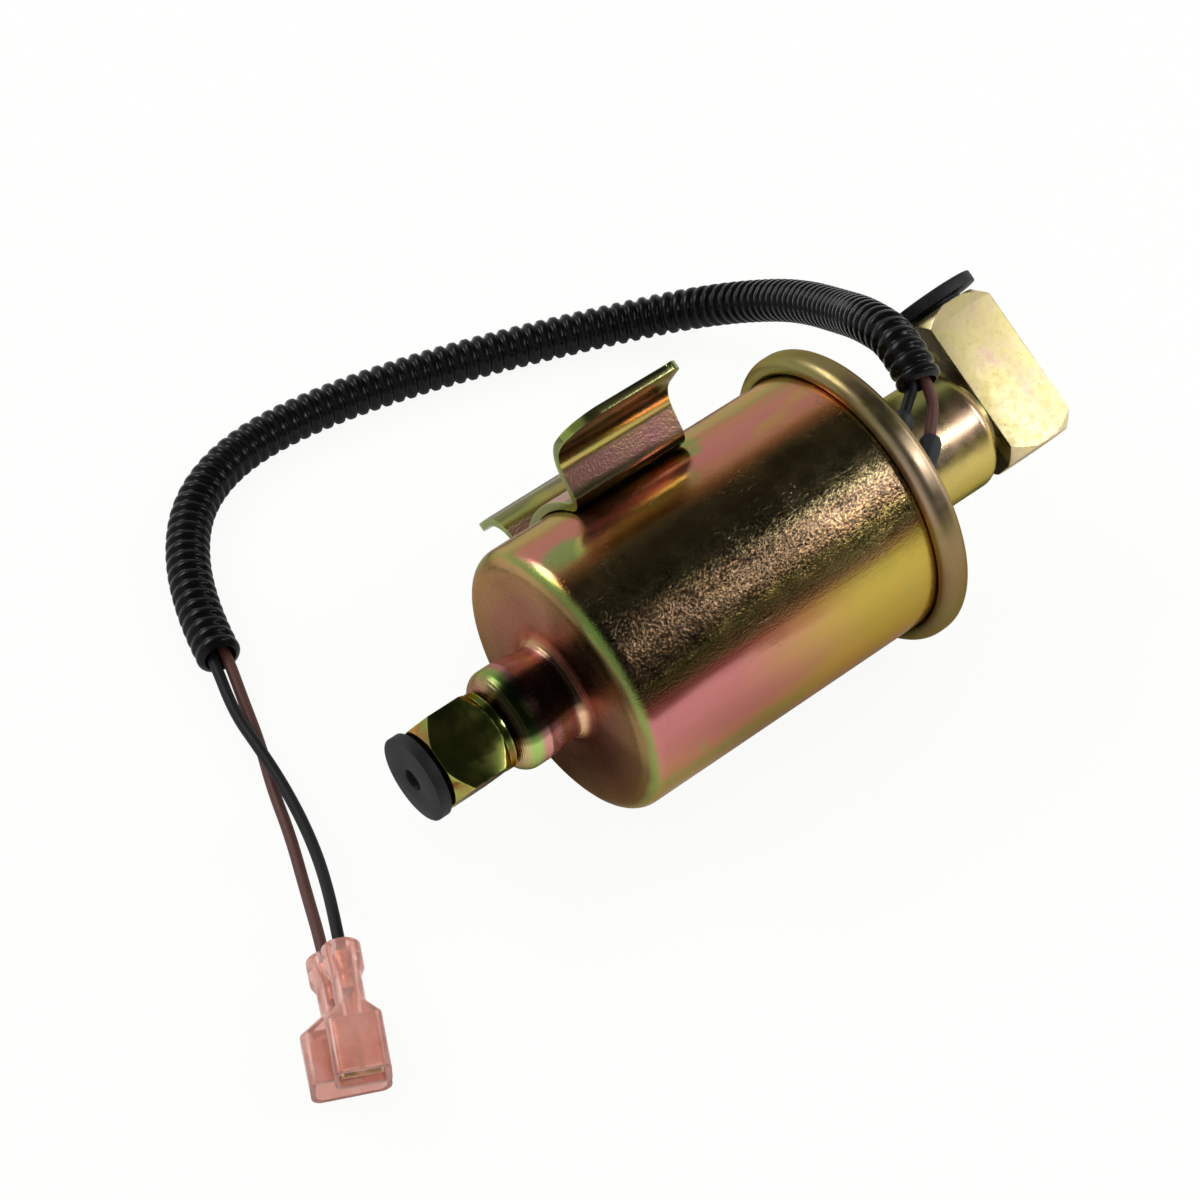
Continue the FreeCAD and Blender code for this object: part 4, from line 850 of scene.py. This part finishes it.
def rounded_outline(corners, steps):
    """Turn (along, radius, rounding) corners into a closed outline with arcs."""
    outline = []
    count = len(corners)
    for i, (x, r, rounding) in enumerate(corners):
        corner = Vector((x, r))
        if not rounding:
            outline.append(corner)
            continue
        before = (Vector(corners[i - 1][:2]) - corner).normalized()
        after = (Vector(corners[(i + 1) % count][:2]) - corner).normalized()
        half = math.acos(before.dot(after)) / 2
        reach = rounding / math.tan(half)
        centre = corner + (before + after).normalized() * (rounding / math.sin(half))
        start = corner + before * reach - centre
        end = corner + after * reach - centre
        turn = start.angle_signed(end)
        for step in range(steps + 1):
            spun = start.copy()
            spun.rotate(Matrix.Rotation(-turn * step / steps, 2))
            outline.append(centre + spun)
    return outline


def turned(name, corners, finish, steps):
    """A closed piece turned about the pump's axis."""
    shape = bmesh.new()
    angles = [2 * math.pi * k / TURNED_SIDES for k in range(TURNED_SIDES)]
    loops = []
    for x, r in rounded_outline(corners, steps):
        loops.append([shape.verts.new((x * MM, r * MM * math.cos(angle), r * MM * math.sin(angle)))
                      for angle in angles])
    for first, second in zip(loops, loops[1:] + loops[:1]):
        for k in range(TURNED_SIDES):
            after = (k + 1) % TURNED_SIDES
            shape.faces.new((first[k], first[after], second[after], second[k]))
    bmesh.ops.remove_doubles(shape, verts=shape.verts, dist=1e-7)
    bmesh.ops.recalc_face_normals(shape, faces=shape.faces)
    mesh = bpy.data.meshes.new(name)
    shape.to_mesh(mesh)
    shape.free()
    mesh.transform(PUMP)
    smooth_by_angle(mesh, TURNED_SHARP)
    return link_mesh(name, mesh, finish)


def square_lip_corners(shape):
    """Draw the bracket's rear lip corners out along the can, inside the strap's own plan.

    Sizes are in mm: the corners' rounding goes from wide to tight, and the lips stay a little
    under the CAD's own height.
    """
    into_pump = PUMP.inverted()
    lip_start, strap_end, lip_edge = 27.1, 38.9, 31.0
    wide, tight = 6.5, 3.2
    highest = CAD_BOX[1][2] - 0.02 * MM
    for vertex in shape.verts:
        x, y, z = into_pump @ vertex.co / MM
        inset = lip_edge - abs(y)
        if x <= lip_start or inset >= wide:
            continue
        inset = max(inset, 0.0)
        reached = strap_end - wide + math.sqrt(wide ** 2 - (wide - inset) ** 2)
        wanted = strap_end - tight + math.sqrt(tight ** 2 - (tight - min(inset, tight)) ** 2)
        x = lip_start + (x - lip_start) * (wanted - lip_start) / (reached - lip_start)
        vertex.co = PUMP @ (Vector((x, y, z)) * MM)
        vertex.co.z = min(vertex.co.z, highest)


def from_solid(name, node, finish, bevel=0.0, shaping=None):
    """A merged and softened copy of a CAD solid that stands in its place."""
    mesh = NODES[node].data.copy()
    mesh.name = name
    shape = bmesh.new()
    shape.from_mesh(mesh)
    bmesh.ops.remove_doubles(shape, verts=shape.verts, dist=2e-6)
    if shaping:
        shaping(shape)
    bmesh.ops.dissolve_limit(shape, angle_limit=math.radians(0.6), verts=shape.verts, edges=shape.edges)
    if bevel:
        edges = [edge for edge in shape.edges
                 if len(edge.link_faces) == 2 and edge.calc_face_angle(0.0) > math.radians(SOLID_SHARP)]
        bmesh.ops.bevel(shape, geom=edges, offset=bevel * MM, segments=3, profile=0.5,
                        affect="EDGES", clamp_overlap=True)
    bmesh.ops.triangulate(shape, faces=[face for face in shape.faces if len(face.verts) > 4])
    shape.to_mesh(mesh)
    shape.free()
    smooth_by_angle(mesh, SOLID_SHARP)
    thing = link_mesh(name, mesh, finish)
    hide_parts(node)
    return thing


# Cords come first: the conduit, then the two leads inside it

def conduit_tree():
    """Corrugated conduit: a swept circle that swells at every rib, with its bore."""
    tree = bpy.data.node_groups.new("corrugated conduit", "GeometryNodeTree")
    for label, kind in (("Line", "NodeSocketGeometry"), ("Ribs", "NodeSocketInt"),
                        ("Rings per Rib", "NodeSocketInt"), ("Crest Radius", "NodeSocketFloat"),
                        ("Root Radius", "NodeSocketFloat"), ("Bore Radius", "NodeSocketFloat"),
                        ("Sides", "NodeSocketInt"), ("Finish", "NodeSocketMaterial")):
        tree.interface.new_socket(label, in_out="INPUT", socket_type=kind)
    tree.interface.new_socket("Conduit", in_out="OUTPUT", socket_type="NodeSocketGeometry")
    given = add(tree, "NodeGroupInput")
    out = add(tree, "NodeGroupOutput")
    rings = maths(tree, "MULTIPLY_ADD", given.outputs["Ribs"], given.outputs["Rings per Rib"], 1.0)
    divided = add(tree, "GeometryNodeResampleCurve")
    fill(tree, divided, Curve=given.outputs["Line"], Count=rings)
    station = add(tree, "GeometryNodeSplineParameter")
    phase = maths(tree, "FRACT", maths(tree, "MULTIPLY", station.outputs["Factor"], given.outputs["Ribs"]))
    rise = span(tree, phase, 0.02, 0.34)
    fall = span(tree, phase, 0.62, 0.96)
    swell = maths(tree, "SUBTRACT", rise, fall)
    height = maths(tree, "SUBTRACT", given.outputs["Crest Radius"], given.outputs["Root Radius"])
    radius = maths(tree, "MULTIPLY_ADD", swell, height, given.outputs["Root Radius"])
    at_start = maths(tree, "LESS_THAN", station.outputs["Index"], 0.5)
    at_end = maths(tree, "GREATER_THAN", station.outputs["Index"], maths(tree, "SUBTRACT", rings, 1.5))
    mouth = maths(tree, "ADD", at_start, at_end)
    inward = maths(tree, "SUBTRACT", given.outputs["Bore Radius"], radius)
    skin_scale = maths(tree, "MULTIPLY_ADD", mouth, inward, radius)
    circle = add(tree, "GeometryNodeCurvePrimitiveCircle")
    fill(tree, circle, Resolution=given.outputs["Sides"], Radius=1.0)
    skin = add(tree, "GeometryNodeCurveToMesh")
    bore = add(tree, "GeometryNodeCurveToMesh")
    for swept, scale in ((skin, skin_scale), (bore, given.outputs["Bore Radius"])):
        fill(tree, swept, Curve=divided.outputs[0], Profile_Curve=circle.outputs["Curve"], Scale=scale)
    turned_in = add(tree, "GeometryNodeFlipFaces")
    feed(tree, bore.outputs[0], turned_in.inputs["Mesh"])
    joined = add(tree, "GeometryNodeJoinGeometry")
    feed(tree, turned_in.outputs[0], joined.inputs[0])
    feed(tree, skin.outputs[0], joined.inputs[0])
    welded = add(tree, "GeometryNodeMergeByDistance")
    fill(tree, welded, Geometry=joined.outputs[0], Distance=1e-6)
    real = add(tree, "GeometryNodeRealizeInstances")
    feed(tree, welded.outputs[0], real.inputs[0])
    coated = add(tree, "GeometryNodeSetMaterial")
    fill(tree, coated, Geometry=real.outputs[0], Material=given.outputs["Finish"])
    feed(tree, coated.outputs[0], out.inputs[0])
    return tree


def grown(name, base, tree, finish, **values):
    """Run a node tree on an object and keep the result as a plain mesh piece."""
    modifier = base.modifiers.new("growth", "NODES")
    modifier.node_group = tree
    for item in tree.interface.items_tree:
        if item.item_type == "SOCKET" and item.in_out == "INPUT" and item.name in values:
            modifier[item.identifier] = values[item.name]
    bpy.context.view_layer.update()
    ready = base.evaluated_get(bpy.context.evaluated_depsgraph_get())
    mesh = bpy.data.meshes.new_from_object(ready)
    mesh.name = name
    base.modifiers.remove(modifier)
    smooth_by_angle(mesh, RIB_SHARP)
    return link_mesh(name, mesh, finish)


def make_conduit():
    line = route_curve("conduit_line", CONDUIT_ROUTE)
    path = line_points(line)
    piece = grown("conduit_ribbed", line, conduit_tree(), "conduit", **{
        "Ribs": 97, "Rings per Rib": 10, "Crest Radius": 4.1 * MM, "Root Radius": 3.4 * MM,
        "Bore Radius": 2.95 * MM, "Sides": 28, "Finish": FINISHES["conduit"]})
    bpy.data.objects.remove(line)
    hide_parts("conduit")
    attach(piece, "pump")


def make_lead(tag, tail, spacing, terminal):
    """One insulated lead, from inside the cover to its terminal's crimp."""
    place = terminal_matrix(terminal)
    route = [lead_point(tag, -LEAD_INNER), lead_point(tag, LEADS[tag][1])]
    route += beside(CONDUIT_ROUTE, spacing)
    route += [Vector(point) for point in tail]
    route += [place @ Vector((-TERMINAL_MOUTH_RUN, 0, 0)), place @ Vector((TERMINAL_CRIMP_END, 0, 0))]
    line = route_curve(f"{tag}_line", route)
    length = line_length(line_points(line))
    bpy.data.objects.remove(line)
    wire = route_curve(f"lead_wire_{tag}", route, WIRE_RADIUS)
    wire.data.materials.append(FINISHES[f"wire_{tag}"])
    with_pieces = [from_solid(f"insulation_{tag}", f"terminal_sleeve_{tag}", "pink", 0.12),
                   from_solid(f"contact_{tag}", f"terminal_blade_{tag}", "tinned", 0.05)]
    for piece in with_pieces:
        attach(piece, "pump")
    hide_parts(f"wire_{tag}")
    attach(wire, "pump")


make_conduit()
make_lead("black", BLACK_TAIL, WIRE_SPACING, BLACK_TERMINAL)
make_lead("brown", BROWN_TAIL, -WIRE_SPACING, BROWN_TERMINAL)


# Turned sheet-metal pieces

def make_can():
    piece = turned("can_shell", [
        (-13.4, 6.35, 0.3), (-13.4, 9.45, 2.9), (-8.2, 9.45, 3.0), (0, 8.45, 2.6), (0, 25.4, 3.3),
        (64.5, 25.4, 0.5), (64.5, 27.4, 0.3), (65.7, 27.4, 0.3), (65.7, 24.2, 0.2), (1.2, 24.2, 1.5),
        (1.2, 7.25, 0.3), (-8.2, 8.25, 0), (-12.2, 8.25, 1.0), (-12.2, 6.35, 0.2)], "can", steps=10)
    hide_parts("housing_can")
    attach(piece, "pump")


def make_ring():
    piece = turned("seam_ring_rolled", [
        (63.6, 25.8, 0.35), (63.6, 28.7, 2.25), (69.2, 28.7, 2.25), (69.2, 24.1, 0.3), (68.3, 24.1, 0.3),
        (68.3, 27.45, 0.4), (64.5, 27.45, 0.4), (64.5, 25.8, 0.3)], "ring", steps=9)
    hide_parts("seam_ring")
    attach(piece, "pump")


make_can()
make_ring()
for name, node, finish, bevel, shaping in (
        ("cover_shell", "rear_cover", "cover", 0.0, None),
        ("inlet_bar", "inlet_fitting", "inlet", 0.18, None),
        ("elbow_bar", "outlet_elbow", "block", 0.18, None),
        ("bracket_strap", "mounting_bracket", "bracket", 0.22, square_lip_corners),
        ("inlet_travel_plug", "inlet_plug", "plug", 0.25, None),
        ("outlet_travel_plug", "outlet_plug", "plug", 0.25, None),
        ("sleeve_black", "lead_sleeve_black", "seal", 0.0, None),
        ("sleeve_brown", "lead_sleeve_brown", "seal", 0.0, None)):
    piece = from_solid(name, node, finish, bevel, shaping=shaping)
    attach(piece, {"inlet_plug": "inlet_cap", "outlet_plug": "outlet_cap"}.get(node, "pump"))


# Floor, backdrop light and softboxes

def seen_directly(tree, path):
    """One for rays from the camera, also through clear plastic."""
    return maths(tree, "MAXIMUM", path.outputs["Is Camera Ray"], path.outputs["Is Transmission Ray"])


def make_floor():
    """White paper: it glows to the camera; the metal mirrors it with a painted shadow under the can and a
    painted glow under the neck.
    """
    reach = 6.0
    mesh = bpy.data.meshes.new("bench_top")
    corners = [(-reach, -reach, 0), (reach, -reach, 0), (reach, reach, 0), (-reach, reach, 0)]
    mesh.from_pydata(corners, [], [(0, 1, 2, 3)])
    floor = bpy.data.objects.new("bench_top", mesh)
    bpy.context.collection.objects.link(floor)
    made = bpy.data.materials.new("bench_white")
    made.use_nodes = True
    tree = made.node_tree
    shader = tree.nodes["Principled BSDF"]
    glow = add(tree, "ShaderNodeEmission")
    glow.inputs["Color"].default_value = PAPER_WHITE
    path = add(tree, "ShaderNodeLightPath")
    glossy = path.outputs["Is Glossy Ray"]
    x, y, _ = split(tree, add(tree, "ShaderNodeTexCoord").outputs["Object"])
    # Painted shadow: seen only in the metal, the paper is dark under and behind the can.
    behind = maths(tree, "SUBTRACT", y, BENCH_PLACE.y)
    open_floor = span(tree, behind, -0.004, -0.020)
    for value, start, full in ((behind, 0.016, 0.060), (x, -0.046, -0.062), (x, 0.075, 0.110)):
        open_floor = maths(tree, "MAXIMUM", open_floor, span(tree, value, start, full))
    mirrored = blend(tree, open_floor, PAPER_PAINTED_SHADOW, PAPER_OPEN)
    fill(tree, shader, Base_Color=blend(tree, glossy, (0.86, 0.86, 0.85), mirrored), Roughness=0.9,
         Specular_IOR_Level=0.1)
    # Painted light: seen only in the metal, the paper glows under the neck.
    under_neck = product(tree, span(tree, x, -0.006, -0.026), span(tree, behind, 0.004, -0.014))
    lit = product(tree, under_neck, glossy, GLOW_IN_GLOSS)
    mix = add(tree, "ShaderNodeMixShader")
    glowing = maths(tree, "MULTIPLY_ADD", seen_directly(tree, path), GLOW_TO_CAMERA, lit, clamp=True)
    for index, source in enumerate((glowing, shader.outputs[0], glow.outputs[0])):
        feed(tree, source, mix.inputs[index])
    feed(tree, mix.outputs[0], tree.nodes["Material Output"].inputs["Surface"])
    mesh.materials.append(made)


def make_world():
    """White paper behind and around, a dark room on the camera's side in the gloss."""
    world = bpy.data.worlds.new("studio")
    bpy.context.scene.world = world
    world.use_nodes = True
    tree = world.node_tree
    background = tree.nodes["Background"]
    direction = add(tree, "ShaderNodeTexCoord").outputs["Generated"]
    x, _, z = split(tree, direction)
    side, up = [dotted(tree, direction, pump_axis(*axis)) for axis in ((0, 1, 0), (0, 0, 1))]
    strips = ramp(tree, maths(tree, "FRACT", turn_about(tree, up, side, 1.0)), greys(
        (0.00, 0.55), (0.14, 0.60), (0.20, 0.58), (0.285, 0.50), (0.318, 0.11), (0.350, 0.018),
        (0.430, 0.020), (0.470, 0.035), (0.500, 0.05), (0.530, 0.06), (0.560, 0.06), (0.592, 0.05),
        (0.625, 0.05), (0.655, 0.20), (0.70, 0.45), (1.00, 0.55)))
    gloss = maths(tree, "MAXIMUM", strips, span(tree, x, -0.45, -0.85, 0.0, 0.45))
    path = add(tree, "ShaderNodeLightPath")
    glossy = path.outputs["Is Glossy Ray"]
    soft = product(tree, maths(tree, "SUBTRACT", 1.0, glossy), span(tree, z, -0.2, 0.9, 0.55, 0.95))
    strength = maths(tree, "ADD", product(tree, glossy, gloss), soft)
    strength = maths(tree, "MAXIMUM", strength, seen_directly(tree, path))
    fill(tree, background, Color=PAPER_WHITE, Strength=strength)


def make_softbox(name, place, aim, width, height, power):
    light = bpy.data.lights.new(name, "AREA")
    light.shape = "RECTANGLE"
    light.size = width
    light.size_y = height
    light.energy = power
    thing = bpy.data.objects.new(name, light)
    thing.location = place
    thing.rotation_euler = (Vector(aim) - Vector(place)).to_track_quat("-Z", "Y").to_euler()
    thing.visible_camera = False
    bpy.context.collection.objects.link(thing)


make_floor()
make_world()
make_softbox("softbox_back", (-0.35, 0.75, 0.75), (0, 0, 0.02), 0.6, 0.4, 4.0)
make_softbox("softbox_camera", (0.207, -0.267, 0.333), (0.04, -0.01, 0.03), 0.09, 0.09, 0.34)
make_softbox("softbox_right", (0.85, -0.35, 0.45), (0, 0, 0.02), 0.30, 0.5, 2.0)
